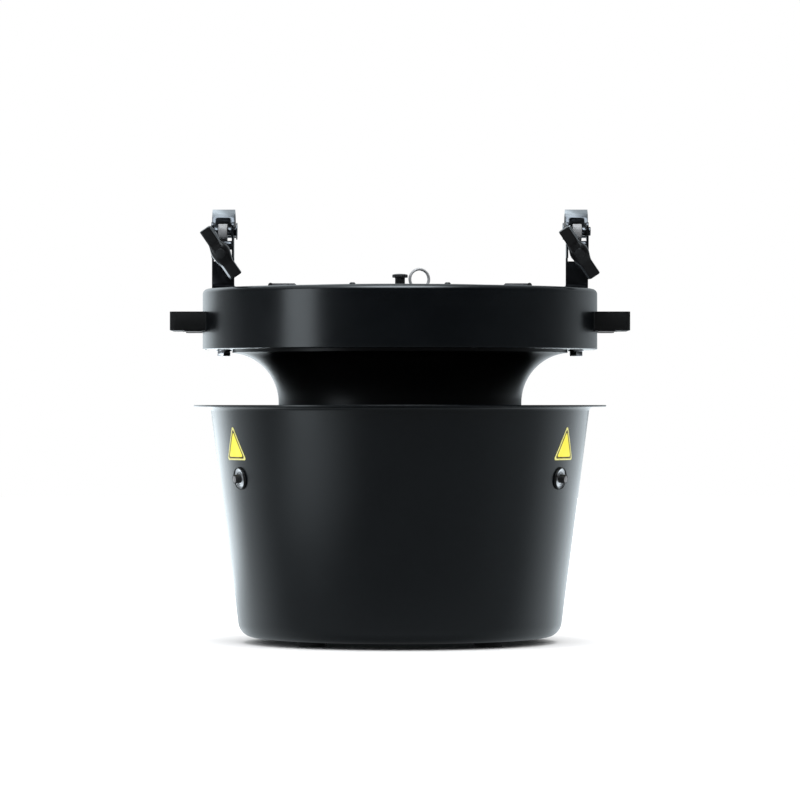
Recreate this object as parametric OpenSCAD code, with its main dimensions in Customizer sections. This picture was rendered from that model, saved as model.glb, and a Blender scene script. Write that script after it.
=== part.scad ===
// Hanging confetti fan. A drum with a ducted fan is locked into a tapered bucket, blows down
// its middle and lets the air out through the gap between the rim and the flared neck.
// Two hook clamps on the drum hang it from a truss tube. Millimetres, floor at z = 0.

/* [Bucket] */
// Height of the bucket, from its floor to its rim
bucket_h = 312; // [296:1:330]
// Outer radius of the wall where it would meet the bucket's floor
bucket_base_r = 216; // [208:1:222]
// Outer radius of the wall at the height of the rim
bucket_top_r = 256; // [250:1:262]
// Thickness of the bucket's sheet
bucket_t = 2.5; // [2:0.25:3]
// Outer radius of the corner between the floor and the wall
bucket_corner_r = 16; // [10:1:24]
// Outer radius of the rolled rim
rim_r = 278; // [274:1:284]
// Radius of the bend under the rim
rim_bend_r = 6; // [4:0.5:8]

/* [Feet] */
// Height of a rubber foot
foot_h = 8; // [6:0.5:12]
// Diameter of a rubber foot
foot_d = 38; // [30:1:44]
// Distance of the feet from the middle
foot_ring_r = 164; // [150:1:172]

/* [Drum] */
// Open height between the bucket's rim and the drum
outlet_gap = 74.5; // [66:0.5:84]
// Height of the drum
drum_h = 81.5; // [76:0.5:96]
// Outer radius of the drum
drum_r = 266; // [264:1:272]
// Thickness of the drum's sheet
drum_t = 2.5; // [2:0.25:3]
// Radius of the drum's upper edge
drum_edge_r = 7; // [5:0.5:9]
// Thickness of the drum's floor pan
floor_t = 3; // [2.5:0.25:3.5]
// Height of the floor pan's upturned rim
floor_rim_h = 18; // [14:1:20]

/* [Neck] */
// Outer radius of the neck below its flare
neck_r = 163.8; // [160:0.2:167]
// Thickness of the neck's sheet
neck_t = 3; // [2.5:0.25:3.5]
// Radius of the flare
flare_r = 67.5; // [60:0.5:70]
// Thickness of the flange at the top of the flare
flange_t = 4; // [3.5:0.25:5]
// Height of the neck's lower end above the bucket's floor
neck_end_h = 187; // [180:1:188]

/* [Fan] */
// Thickness of the fan duct
duct_t = 3; // [2:0.25:4]
// Gap between the blade tips and the duct
tip_gap = 3.6; // [2:0.2:8]
// Number of blades
blades = 5; // [3:1:6]
// Thickness of a blade
blade_t = 3.5; // [3:0.25:5]
// Length of a blade from its front edge to its back edge
blade_chord = 68; // [56:1:70]
// Pitch of the blades in degrees
blade_pitch = 32; // [24:1:34]
// Height of the fan's middle above the drum's underside
fan_rise = 20.5; // [19:0.5:26]
// Outer radius of the motor's rotor
rotor_r = 48; // [44:1:52]
// Diameter of the fan shaft
shaft_d = 10; // [8:0.5:10]
// Thickness of the intake grille
grille_t = 3; // [2:0.5:4]
// Number of rings in the intake grille
grille_rings = 8; // [5:1:9]

/* [Clamps] */
// Distance of each clamp's middle in from the drum's face
clamp_inset = 28.4; // [26:0.2:30]
// Height of the tube's axis above the drum
tube_rise = 78; // [76:0.5:84]
// Diameter of the tube that the clamps hold
tube_d = 50; // [48:0.5:51]
// Thickness of the clamp strap
strap_t = 4.5; // [4:0.25:5]
// Width of the clamp strap
strap_w = 30; // [29:0.5:34]
// Diameter of the clamp bolt
clamp_bolt_d = 10; // [8:0.5:10]
// Distance from the barrel nut to the middle of the wing knob
knob_reach = 66; // [58:1:74]
// Length of the wing knob from tip to tip
knob_l = 75.5; // [66:0.5:84]
// Width of a wing
wing_w = 15.5; // [13:0.5:18]
// Turn of the wing knobs about their screws, in degrees
knob_turn = 56; // [0:1:90]
// Travel of the clamp screw
screw_travel = 5; // [4:0.25:5.25]

/* [Handles] */
// Height of a handle
handle_h = 25; // [20:0.5:28]
// Length of a handle
handle_l = 120; // [110:1:130]
// Distance that a handle stands out of the drum's face
handle_reach = 42; // [38:1:50]
// Width of a handle's grip
grip_w = 18; // [15:0.5:20]
// Height of a handle's lower face above the drum's underside
handle_rise = 25.5; // [24:0.5:30]

/* [Locks] */
// Height of the locks above the bucket's floor
lock_h = 215; // [212:1:216]
// Travel of a lock button
lock_travel = 7; // [6:0.25:8]
// Diameter of a lock button
button_d = 11.5; // [10:0.25:13]

/* [Connectors] */
// Side of a connector's frame, across the drum
frame_w = 40; // [38:1:44]
// Distance of a connector's middle from the rim of the intake grille
connector_gap = 38; // [36:0.5:41]
// Direction of the connectors from the middle, in degrees behind the clamps
connector_turn = 39; // [36:0.5:42]
// Distance of the fuse and the safety eye in from the drum's back
service_inset = 61; // [58:1:64]

/* [Hidden] */
$fn = 96;
e = 0.01;                    // overshoot of a cut
play = 0.05;                 // radial play of a running fit
seat = 0.1;                  // gap between pieces that only rest on each other
clear = 0.2;                 // radial clearance of a screw in its hole

// screw sizes
m4 = 4;
m5 = 5;
m6 = 6;
cap_head_w = 10;
washer_d = 21;
washer_t = 2;

// heights
rim_z = foot_h + bucket_h;
drum_z = rim_z + outlet_gap;
drum_top = drum_z + drum_h;
lock_z = foot_h + lock_h;
tube_z = drum_top + tube_rise;
neck_end = foot_h + neck_end_h;
floor_top = drum_z + floor_t;
shell_under = drum_top - drum_t;
fan_z = drum_z + fan_rise;
handle_z = drum_z + handle_rise;

// places on the drum
clamp_x = drum_r - clamp_inset;
handle_r = drum_r + handle_reach;
service_y = drum_r - service_inset;
drum_lip_r = 1.5;
boss_d = 13;
boss_h = 30;
boss_hole = 14;
csk_d = 10;
csk_h = 2.5;
pan_corner_r = 4;

// the bucket's wall is a straight cone
slope = (bucket_top_r - bucket_base_r) / bucket_h;
tilt = atan(slope);
function wall_r(z) = bucket_base_r + slope * (z - foot_h);
wall_in = bucket_t / cos(tilt);

// neck and duct
flare_axis_r = neck_r + flare_r;
flare_z = drum_z - flange_t - flare_r;
flange_w = 18;
flange_edge = 11;            // from a flange's rim to its screws
flange_r = clamp_x - washer_d / 2 - 1.1;
flange_in_r = flange_r - flange_w;
neck_screw_r = flange_r - flange_edge;
duct_out = neck_r - neck_t - clear;
duct_r = duct_out - duct_t;
duct_lap = 20;
duct_end = flare_z - duct_lap;
duct_flange_r = duct_out + flange_w;
duct_screw_r = duct_out + flange_edge;
plate_screws_n = 8;
screw_phase = 22.5;

// fan
blade_r = duct_r - tip_gap;
hub_t = 8;
hub_r = rotor_r + hub_t;
blade_camber_r = 110;
rotor_h = 34;
rotor_low = fan_z + 1 - rotor_h / 2;
rotor_top = rotor_low + rotor_h;
can_t = 4;
spider_t = 5;
spider_drop = 20.5;
spider_z = drum_z - spider_drop;
spider_arms = 5;
spider_arm_w = 14;
spider_hub_r = 46;
spider_bore_d = 18;
motor_screw_r = 32;
tab_h = 15.5;
tab_t = 10;
post_r = 17;
bearing_d = 26;
bearing_h = 8;
stator_base_r = 40;
stator_base_h = 5;
stack_h = 18;
stack_low = fan_z - 10;
post_top = stack_low + stack_h + 5;
coil_slot_d = 7;
coil_h = 4;

// grille
grille_lap = 10.5;
grille_band = 11;
grille_hub_r = 30;
grille_r = duct_r + grille_lap;
grille_screw_r = duct_r + 6;

// connectors
connector_x = (grille_r + connector_gap) * cos(connector_turn);
connector_y = (grille_r + connector_gap) * sin(connector_turn);
grille_bar = 4;
grille_ring_w = 3;

// clamps
hook_r = tube_d / 2 + 0.3;
hook_out = hook_r + strap_t;
hook_tip = 15;               // how far the tip reaches below the tube's axis, in degrees
hook_fillet = 4;
foot_back = 17;              // how far the hook's foot reaches behind the tube
window_low = -41;
window_high = 18;
window_side = 5;
window_corner_r = 3;
ear_t = 2.75;
ear_low = -37;
ear_high = 11;
ear_edge = 8;
ear_corner_r = 6;
sleeve_d = 12;
sleeve_h = 3;
pin_head_h = 1.4;
pin_d = 8;
pin_y = -(hook_out + 6.2);
pin_z = -1;
pin_head_d = 23;
lever_w = 12;
boss_r = 9.8;
nut_y = -(hook_out + 11.7);
nut_z = -20;
nut_d = 12;
nut_end_d = 9;
screw_d = 10;
screw_tilt = 10.2;
nose_d = 6;
nose_cap_d = 9;
nose_low = nut_d / 2 + 0.6;
nose_cap_h = 3.4;
lever_swing = 14.9;          // degrees of jaw swing over the screw's travel
knob_hub_d = 25;
knob_hub_low = -8;
knob_hub_h = 19;
knob_dome_r = 19;
wing_low = -6;
wing_t = 11;
bolt_af = 17;
bolt_head_h = 6.4;
clamp_nut_h = 8;
bolt_end = 12;
spacer_d = 16;

// locks
lock_az = [-150, -30, 90];   // one at the back, two towards the front
ring_d = 30;
dish_d = 24;
barrel_d = 20;
barrel_in = 10;
barrel_out = 1;
dish_h = 3;
lock_ring_h = 3.4;
lock_nut_af = 26;
lock_nut_h = 5;
button_edge = 0.8;
block_recess = 8.2;
button_out = 9.5;            // how far a released button stands out of the wall
button_in = -10.6;
arm_w = 30;
block_in = 24;
arm_gap = 2.2;
block_half = 14;
bracket_t = 3;
bracket_w = 40;
bracket_leg = 26;

// ---- shared shapes ----

// Points of an arc about (x, y)
function arc(x, y, r, a, b, n = 8) = [for (i = [0:n])
    [x + r * cos(a + (b - a) * i / n), y + r * sin(a + (b - a) * i / n)]];

module turned() rotate_extrude($fn = 144) children();

// A tube standing on z
module tube(z, h, r_out, r_in) translate([0, 0, z]) difference() {
    cylinder(r = r_out, h = h);
    translate([0, 0, -e]) cylinder(r = r_in, h = h + 2 * e);
}

// Copies around the axis, at a radius
module ring_of(n, r, phase = 0) for (i = [0:n - 1])
    rotate([0, 0, phase + i * 360 / n]) translate([r, 0, 0]) children();

// A pan-head screw: the head stands on z = 0 and the shank points down
module pan_screw(d, l) {
    cylinder(d1 = 1.9 * d, d2 = 1.5 * d, h = 0.6 * d);
    translate([0, 0, -l]) cylinder(d = d, h = l + e);
}

// A hexagon across flats
module hex(af, h) cylinder(d = af / cos(30), h = h, $fn = 6);

// An outline in the YZ plane, extruded along X about x = 0
module across(w) rotate([90, 0, 90]) linear_extrude(height = w, center = true) children();

// Mirrored to the left side of the drum, or left where it is
module mirror_x(side) mirror([side < 0 ? 1 : 0, 0, 0]) children();

// ---- drum ----

module drum_outline() polygon(concat(
    [[duct_r, shell_under], [duct_r, drum_top]],
    arc(drum_r - drum_edge_r, drum_top - drum_edge_r, drum_edge_r, 90, 0),
    arc(drum_r - drum_lip_r, floor_top + 1 + drum_lip_r, drum_lip_r, 0, -90, 4),
    [[drum_r - drum_t, floor_top + 1]],
    arc(drum_r - drum_edge_r, drum_top - drum_edge_r, drum_edge_r - drum_t, 0, 90)));

boss_at = drum_r - drum_t - floor_t - 9;
boss_top = drum_z + boss_h;

module drum_shell() color([0.03, 0.03, 0.035]) difference() {
    union() {
        turned() drum_outline();
        ring_of(plate_screws_n, 0, screw_phase) {
            translate([boss_at, 0, floor_top + seat])
                cylinder(d = boss_d, h = boss_top - floor_top - seat);
            translate([boss_at, -boss_d / 2, drum_z + floor_rim_h + 1])
                cube([drum_r - drum_t - boss_at + 1, boss_d,
                    boss_top - drum_z - floor_rim_h - 1]);
        }
    }
    ring_of(plate_screws_n, boss_at, screw_phase)
        translate([0, 0, floor_top - 1]) cylinder(d = m5 + 2 * clear, h = boss_hole + 4);
    ring_of(plate_screws_n, grille_screw_r, screw_phase)
        translate([0, 0, shell_under - 1]) cylinder(d = m4 + 2 * clear, h = drum_t + 2);
    for (side = [-1, 1]) {
        translate([side * clamp_x, 0, shell_under - 1])
            cylinder(d = clamp_bolt_d + 2 * clear, h = drum_t + 2);
        translate([side * connector_x, connector_y, shell_under - 1])
            cylinder(d = socket_d + 2 * clear, h = drum_t + 2);
        at_frame_screws(side) translate([0, 0, shell_under - 1])
            cylinder(d = m4 + 2 * clear, h = drum_t + 2);
        at_handle_screws(side) cylinder(d = m6 + 2 * clear, h = leg_in, center = true);
    }
    translate([0, service_y, shell_under - 1]) cylinder(d = fuse_d + 2 * clear, h = drum_t + 2);
    translate([eye_x, service_y, shell_under - 1])
        cylinder(d = eye_stud_d + 2 * clear, h = drum_t + 2);
}

floor_r = drum_r - drum_t - seat;

module drum_floor() color([0.05, 0.05, 0.055]) difference() {
    turned() polygon(concat(
        [[duct_out + clear, floor_top], [duct_out + clear, drum_z]],
        arc(floor_r - pan_corner_r, drum_z + pan_corner_r, pan_corner_r, -90, 0, 6),
        [[floor_r, drum_z + floor_rim_h], [floor_r - floor_t, drum_z + floor_rim_h]],
        [[floor_r - floor_t, floor_top]]));
    ring_of(plate_screws_n, boss_at, screw_phase) translate([0, 0, drum_z - e]) {
        cylinder(d = m5 + 2 * clear, h = floor_t + 1);
        cylinder(d1 = csk_d + 2 * clear, d2 = m5 + 2 * clear, h = csk_h);
    }
    ring_of(plate_screws_n, neck_screw_r, screw_phase)
        translate([0, 0, drum_z - 1]) cylinder(d = m5 + 2 * clear, h = floor_t + 2);
    ring_of(plate_screws_n, duct_screw_r, screw_phase)
        translate([0, 0, drum_z - 1]) cylinder(d = m5 + 2 * clear, h = floor_t + 2);
    for (side = [-1, 1]) translate([side * clamp_x, 0, drum_z - 1])
        cylinder(d = clamp_bolt_d + 2 * clear, h = floor_t + 2);
}

// Countersunk screws that hold the floor pan
module floor_screws() color("silver")
    ring_of(plate_screws_n, boss_at, screw_phase) translate([0, 0, drum_z]) {
        cylinder(d1 = csk_d, d2 = m5, h = csk_h);
        cylinder(d = m5, h = boss_hole + 1);
    }

// ---- neck and duct ----

module flared_neck() color([0.02, 0.02, 0.022]) difference() {
    turned() difference() {
        translate([neck_r - neck_t, neck_end])
            square([flange_r - neck_r + neck_t, drum_z - seat - neck_end]);
        translate([flare_axis_r, flare_z]) circle(r = flare_r, $fn = 144);
        translate([neck_r, neck_end - 1]) square([2 * flare_r, flare_z - neck_end + 1]);
        translate([flare_axis_r, flare_z - 1]) square([flare_r, flare_r + 1]);
        difference() {
            translate([neck_r - neck_t - 1, flare_z])
                square([flange_in_r - neck_r + neck_t + 1, flare_r + flange_t + 1]);
            translate([flare_axis_r, flare_z]) circle(r = flare_r + neck_t, $fn = 144);
        }
    }
    ring_of(plate_screws_n, neck_screw_r, screw_phase)
        translate([0, 0, drum_z - flange_t - 0.2])
            cylinder(d = m5 + 2 * clear, h = flange_t + 1);
    at_arm_screws() translate([0, 0, -8]) cylinder(d = m6 + 2 * clear, h = 16);
}

// Pan-head screws that hold the neck and the duct to the floor pan
module plate_screws() color("silver") {
    ring_of(plate_screws_n, neck_screw_r, screw_phase)
        translate([0, 0, floor_top + seat / 2]) pan_screw(m5, floor_t + flange_t - 0.5);
    ring_of(plate_screws_n, duct_screw_r, screw_phase)
        translate([0, 0, floor_top + floor_t + seat * 1.5]) pan_screw(m5, 2 * floor_t);
}

module fan_duct() color([0.3, 0.3, 0.32]) difference() {
    union() {
        tube(duct_end, shell_under - seat - duct_end, duct_out, duct_r);
        tube(floor_top + seat, floor_t, duct_flange_r, duct_out - 1);
    }
    ring_of(plate_screws_n, duct_screw_r, screw_phase)
        translate([0, 0, floor_top - 1]) cylinder(d = m5 + 2 * clear, h = floor_t + 2);
    at_spider_screws() translate([0, 0, -2 * duct_t]) cylinder(d = m5 + 2 * clear, h = 4 * duct_t);
}

// ---- motor and fan ----

// Radial screw places on the spider's tabs, z outwards from the duct's outer face
module at_spider_screws() ring_of(spider_arms, duct_out, 90)
    translate([0, 0, spider_z + tab_h - 6]) rotate([0, 90, 0]) children();

module motor_spider() color([0.25, 0.25, 0.27]) difference() {
    union() {
        translate([0, 0, spider_z]) cylinder(r = spider_hub_r, h = spider_t);
        ring_of(spider_arms, 0, 90) {
            translate([spider_hub_r - 4, -spider_arm_w / 2, spider_z])
                cube([duct_r - clear - spider_hub_r + 2, spider_arm_w, spider_t]);
            translate([duct_r - clear - tab_t, -spider_arm_w / 2, spider_z])
                cube([tab_t - 2 * clear, spider_arm_w, tab_h]);
        }
    }
    at_spider_screws() translate([0, 0, -duct_t - tab_t])
        cylinder(d = m5 + 2 * clear, h = duct_t + tab_t);
    translate([0, 0, spider_z - 1]) cylinder(d = spider_bore_d, h = spider_t + 2);
    ring_of(4, motor_screw_r, 45) translate([0, 0, spider_z - 1])
        cylinder(d = m5 + 2 * clear, h = spider_t + 2);
}

module spider_screws() color("silver") {
    at_spider_screws() translate([0, 0, seat]) pan_screw(m5, duct_t + 0.8 * tab_t);
    ring_of(4, motor_screw_r, 45) translate([0, 0, spider_z - seat / 2])
        rotate([180, 0, 0]) pan_screw(m5, spider_t + 3.5);
}

stator_z = spider_z + spider_t + seat;

module motor_stator() color([0.55, 0.56, 0.58]) difference() {
    union() {
        translate([0, 0, stator_z]) cylinder(r = stator_base_r, h = stator_base_h);
        translate([0, 0, stator_z]) cylinder(r = post_r, h = post_top - stator_z);
        translate([0, 0, stack_low]) difference() {
            cylinder(r = rotor_r - can_t - 1.5, h = stack_h);
            ring_of(9, rotor_r - can_t - 9) translate([0, 0, -1])
                cylinder(d = coil_slot_d, h = stack_h + 2);
        }
    }
    translate([0, 0, stator_z - 1]) cylinder(d = bearing_d - 4, h = post_top + 7 - stator_z);
    translate([0, 0, stator_z - 1]) cylinder(d = bearing_d + e, h = bearing_h + 1);
    translate([0, 0, post_top - bearing_h]) cylinder(d = bearing_d + e, h = bearing_h + 1);
    ring_of(4, motor_screw_r, 45) translate([0, 0, stator_z - 1])
        cylinder(d = m5 + 2 * clear, h = stator_base_h - 0.5);
}

module motor_winding() color([0.72, 0.4, 0.2])
    for (z = [stack_low - coil_h - 1 - seat, stack_low + stack_h + seat])
        tube(z, coil_h, rotor_r - can_t - 4, post_r + clear);

module motor_bearings() color("silver")
    for (z = [stator_z + seat, post_top - bearing_h])
        tube(z, bearing_h - seat, bearing_d / 2, shaft_d / 2 + play);

module rotor_can() color([0.2, 0.2, 0.22]) difference() {
    translate([0, 0, rotor_low]) cylinder(r = rotor_r, h = rotor_h);
    translate([0, 0, rotor_low - 1]) difference() {
        cylinder(r = rotor_r - can_t, h = rotor_h - can_t + 1);
        translate([0, 0, post_top + 0.4 - rotor_low + 1]) cylinder(r = post_r / 2 - 0.5, h = rotor_h);
    }
    translate([0, 0, rotor_low]) cylinder(d = shaft_d + e, h = rotor_h + 1);
}

module fan_shaft() color("silver") translate([0, 0, stator_z + 0.5])
    cylinder(d = shaft_d, h = rotor_top + 5 - stator_z);

module blade() intersection() {
    tube(fan_z - blade_chord / 2, blade_chord, blade_r, hub_r - 2);
    translate([0, 0, fan_z]) rotate([blade_pitch, 0, 0]) intersection() {
        translate([0, -blade_chord / 2, -blade_chord / 2])
            cube([blade_r + 10, blade_chord, blade_chord]);
        translate([0, 0, -blade_camber_r + 3]) rotate([0, 90, 0])
            tube(0, blade_r + 10, blade_camber_r + blade_t / 2, blade_camber_r - blade_t / 2);
    }
}

module impeller() color([0.08, 0.08, 0.085]) difference() {
    union() {
        translate([0, 0, rotor_low - 1.5]) cylinder(r = hub_r, h = rotor_h + 3.5);
        translate([0, 0, rotor_top + 2 - e]) cylinder(r1 = hub_r, r2 = hub_r - 6, h = 3);
        ring_of(blades, 0) blade();
    }
    translate([0, 0, rotor_low - 3]) cylinder(r = rotor_r + seat, h = rotor_h + 3 + seat);
    translate([0, 0, rotor_top - 1]) cylinder(d = shaft_d + 2 * clear, h = 12);
}

// A flat welded grille over the intake, seated on the drum
module intake_grille() color([0.04, 0.04, 0.045]) translate([0, 0, drum_top + seat])
    linear_extrude(height = grille_t) difference() {
        union() {
            for (i = [0:grille_rings - 1]) {
                r = grille_r - grille_band + 1 - i * (grille_r - grille_hub_r - 16) / grille_rings;
                difference() {
                    circle(r = r);
                    circle(r = r - grille_ring_w);
                }
            }
            difference() {
                circle(r = grille_r);
                circle(r = grille_r - grille_band);
            }
            circle(r = grille_hub_r);
            ring_of(plate_screws_n, 0, screw_phase)
                translate([grille_hub_r - 4, -grille_bar / 2])
                    square([grille_r - grille_hub_r, grille_bar]);
        }
        ring_of(plate_screws_n, grille_screw_r, screw_phase) circle(d = m4 + 2 * clear);
    }

// ---- handles ----

handle_y = handle_l / 2 - grip_w / 2;
plate_t = 1.2;
plate_lip = 28;
handle_corner_r = 8;
leg_in = 20;
handle_screw_in = 18;

// Radial places of the handle screws, z outwards from the drum's face
module at_handle_screws(side) for (y = [-handle_y, handle_y])
    mirror_x(side) rotate([0, 0, asin(y / drum_r)]) translate([drum_r, 0, handle_z + handle_h / 2])
        rotate([0, 90, 0]) children();

module handle(side) difference() {
    translate([0, 0, handle_z]) linear_extrude(height = handle_h) difference() {
        mirror_x(side) difference() {
            union() {
                translate([drum_r - leg_in, -handle_l / 2])
                    square([handle_reach + leg_in - handle_corner_r, handle_l]);
                translate([drum_r, -handle_l / 2 + handle_corner_r])
                    square([handle_reach, handle_l - 2 * handle_corner_r]);
                for (y = [-1, 1])
                    translate([handle_r - handle_corner_r, y * (handle_l / 2 - handle_corner_r)])
                        circle(r = handle_corner_r);
            }
            translate([drum_r - leg_in - 1, -handle_l / 2 + grip_w])
                square([handle_reach + leg_in + 1 - grip_w, handle_l - 2 * grip_w]);
        }
        circle(r = drum_r + plate_t + seat, $fn = 144);
    }
    at_handle_screws(side) translate([0, 0, -2])
        cylinder(d = m6 + 2 * clear, h = handle_screw_in + 2);
}

module handle_left() color([0.06, 0.06, 0.06]) handle(-1);
module handle_right() color([0.06, 0.06, 0.06]) handle(1);

// Sheet seats between the handles and the drum, with a thin lip under each handle's legs
module handle_plates() color([0.2, 0.2, 0.2]) for (side = [-1, 1]) mirror_x(side)
    difference() {
        intersection() {
            union() {
                tube(handle_z - 2, handle_h + 2, drum_r + plate_t, drum_r + seat / 2);
                difference() {
                    tube(handle_z - 2, plate_t, drum_r + plate_lip, drum_r + seat / 2);
                    translate([0, -handle_l / 2 + grip_w, 0])
                        cube([handle_r, handle_l - 2 * grip_w, drum_top]);
                }
            }
            translate([0, -handle_l / 2, 0]) cube([handle_r, handle_l, drum_top]);
        }
        at_handle_screws(1) translate([0, 0, -2])
            cylinder(d = m6 + 2 * clear, h = handle_screw_in + 2);
    }

// Socket screws from inside the drum into the handles
module handle_screws() color("silver") for (side = [-1, 1])
    at_handle_screws(side) translate([0, 0, -drum_t - 0.6]) rotate([180, 0, 0]) {
        cylinder(d = cap_head_w, h = 0.8 * m6);
        translate([0, 0, -handle_screw_in]) cylinder(d = m6, h = handle_screw_in + e);
    }

// ---- hanger arms ----

arm_screw_z = 8;
block_face = wall_r(lock_z) - wall_in - block_recess - arm_gap;
arm_low = lock_z - block_half;

// Radial places of the arm screws, z outwards from the neck's outer face
module at_arm_screws() for (az = lock_az) for (z = [lock_z - arm_screw_z, lock_z + arm_screw_z])
    rotate([0, 0, az]) translate([neck_r, 0, z]) rotate([0, 90, 0]) children();

module hanger_arms() color([0.22, 0.22, 0.24]) difference() {
    for (az = lock_az) rotate([0, 0, az]) translate([0, 0, arm_low]) difference() {
        union() {
            translate([neck_r - 6, -arm_w / 2, 0]) cube([14, arm_w, 2 * block_half]);
            translate([neck_r, -6, 0]) cube([block_face - neck_r - 2, 12, 2 * block_half]);
            translate([block_face - block_in, -arm_w / 2, 0])
                cube([block_in, arm_w, 2 * block_half]);
        }
        translate([0, 0, -1]) cylinder(r = neck_r + seat, h = 2 * block_half + 2);
    }
    for (az = lock_az) at_lock(az) rotate([0, 90, 0]) translate([0, 0, button_in - lock_travel - 1.5])
        cylinder(d = button_d + 1.5, h = 2 * arm_w);
    at_arm_screws() cylinder(d = m6 + 2 * clear, h = 7);
}

module arm_screws() color("silver") at_arm_screws()
    translate([0, 0, -neck_t - 0.6]) rotate([180, 0, 0]) {
        cylinder(d = cap_head_w, h = 0.65 * m6);
        translate([0, 0, -m6 - neck_t]) cylinder(d = m6, h = m6 + neck_t + e);
    }

// ---- clamps ----

// The frame of a clamp: x = 0 in its middle plane, z = 0 on the tube's axis
module at_clamp(side) translate([side * clamp_x, 0, tube_z]) children();

// The frame of a clamp screw: z runs inwards along the screw, from the barrel nut's middle
module at_screw(side) at_clamp(side) translate([0, nut_y, nut_z])
    rotate([screw_tilt - 90, 0, 0]) children();

module hook_outline() {
    far = 2 * hook_out;
    bend_r = hook_fillet + strap_t;
    difference() {
        circle(r = hook_out);
        circle(r = hook_r);
        polygon([[0, 0], [-far, 0], [-far, -far], [far, -far],
            [far * cos(hook_tip), -far * sin(hook_tip)]]);
    }
    difference() {
        translate([-hook_out, -tube_rise]) square([hook_out + foot_back, tube_rise]);
        translate([-hook_r + hook_fillet, -tube_rise + strap_t + hook_fillet])
            square([hook_r + foot_back, tube_rise]);
        translate([-hook_r, -tube_rise + strap_t + hook_fillet]) square([hook_r, tube_rise]);
        translate([-hook_r + hook_fillet, -tube_rise + strap_t])
            square([hook_r + foot_back, tube_rise]);
        translate([-hook_r + hook_fillet, -tube_rise + strap_t + hook_fillet])
            circle(r = hook_fillet);
        difference() {
            translate([-hook_out - 1, -tube_rise - 1]) square(bend_r + 1);
            translate([-hook_out + bend_r, -tube_rise + bend_r]) circle(r = bend_r);
        }
    }
}

module clamp_hook(side) difference() {
    at_clamp(side) difference() {
        union() {
            across(strap_w) hook_outline();
            for (x = [-1, 1]) translate([x * (strap_w - ear_t) / 2, 0, 0]) across(ear_t)
                translate([nut_y - ear_edge, ear_low]) {
                    translate([ear_corner_r, 0])
                        square([ear_edge - nut_y - ear_corner_r - hook_r, ear_high - ear_low]);
                    translate([0, ear_corner_r])
                        square([ear_edge + nut_d, ear_high - ear_low - 2 * ear_corner_r]);
                    for (y = [ear_corner_r, ear_high - ear_low - ear_corner_r])
                        translate([ear_corner_r, y]) circle(r = ear_corner_r);
                }
        }
        // the window in the spine
        translate([0, -hook_r / 2, 0]) rotate([90, 0, 0]) linear_extrude(height = hook_out) {
            corner_x = strap_w / 2 - window_side - window_corner_r;
            translate([-strap_w / 2 + ear_t, window_low])
                square([strap_w - 2 * ear_t, window_high / 2 - window_low]);
            translate([-strap_w / 2 + window_side, 0])
                square([strap_w - 2 * window_side, window_high - window_corner_r]);
            translate([-corner_x, 0]) square([2 * corner_x, window_high]);
            for (x = [-1, 1]) translate([x * corner_x, window_high - window_corner_r])
                circle(r = window_corner_r);
        }
        translate([0, pin_y, pin_z]) rotate([0, 90, 0])
            cylinder(d = pin_d + e, h = strap_w + 10, center = true);
        translate([0, nut_y, nut_z]) rotate([0, 90, 0])
            cylinder(d = nut_end_d + e, h = strap_w + 10, center = true);
        translate([0, 0, -tube_rise - 1])
            cylinder(d = clamp_bolt_d + 2 * clear, h = strap_t + 2);
    }
}

module clamp_hook_left() color([0.05, 0.05, 0.055]) clamp_hook(-1);
module clamp_hook_right() color([0.05, 0.05, 0.055]) clamp_hook(1);

bolt_seat = drum_z - washer_t - seat;
nut_seat = drum_top + strap_t + seat;

module clamp_bolts() color("silver") for (side = [-1, 1]) translate([side * clamp_x, 0, 0]) {
    translate([0, 0, bolt_seat - bolt_head_h]) rotate([0, 0, 30]) hex(bolt_af, bolt_head_h);
    translate([0, 0, bolt_seat - e]) cylinder(d = clamp_bolt_d, h = nut_seat + bolt_end - bolt_seat);
}

module clamp_washers() color("white") for (side = [-1, 1]) translate([side * clamp_x, 0, 0])
    tube(bolt_seat + seat / 2, washer_t, washer_d / 2, clamp_bolt_d / 2 + clear);

module clamp_nuts() color("silver") for (side = [-1, 1]) translate([side * clamp_x, 0, nut_seat])
    difference() {
        hex(bolt_af, clamp_nut_h);
        translate([0, 0, -1]) cylinder(d = clamp_bolt_d + play, h = clamp_nut_h + 2);
    }

module clamp_spacers() color("silver") for (side = [-1, 1]) translate([side * clamp_x, 0, 0])
    tube(floor_top + seat, shell_under - floor_top - 2 * seat, spacer_d / 2,
        clamp_bolt_d / 2 + clear);

// Jaw pins, each with a broad head on the inner side and two sleeves that centre the jaw
module jaw_pins() color("silver") for (side = [-1, 1]) at_clamp(side)
    translate([0, pin_y, pin_z]) rotate([0, -90 * side, 0]) {
        translate([0, 0, -strap_w / 2 - sleeve_h])
            cylinder(d = pin_d, h = strap_w + 2 * sleeve_h + pin_head_h);
        translate([0, 0, strap_w / 2 + seat]) cylinder(d = sleeve_d, h = sleeve_h);
        translate([0, 0, strap_w / 2 + sleeve_h]) cylinder(d = pin_head_d, h = pin_head_h);
        for (s = [-1, 1]) translate([0, 0, s * (lever_w / 2 + seat)]) mirror([0, 0, s < 0 ? 1 : 0])
            cylinder(d = sleeve_d, h = strap_w / 2 - ear_t - lever_w / 2 - 2 * seat);
        translate([0, 0, -strap_w / 2 - sleeve_h]) cylinder(d = sleeve_d, h = sleeve_h - seat);
    }

module barrel_nuts() color("silver") for (side = [-1, 1]) difference() {
    at_clamp(side) translate([0, nut_y, nut_z]) rotate([0, 90, 0]) {
        cylinder(d = nut_d, h = strap_w - 2 * ear_t - 2 * seat, center = true);
        cylinder(d = nut_end_d, h = strap_w, center = true);
    }
    at_screw(side) cylinder(d = screw_d + 2 * play, h = 30, center = true);
}

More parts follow.
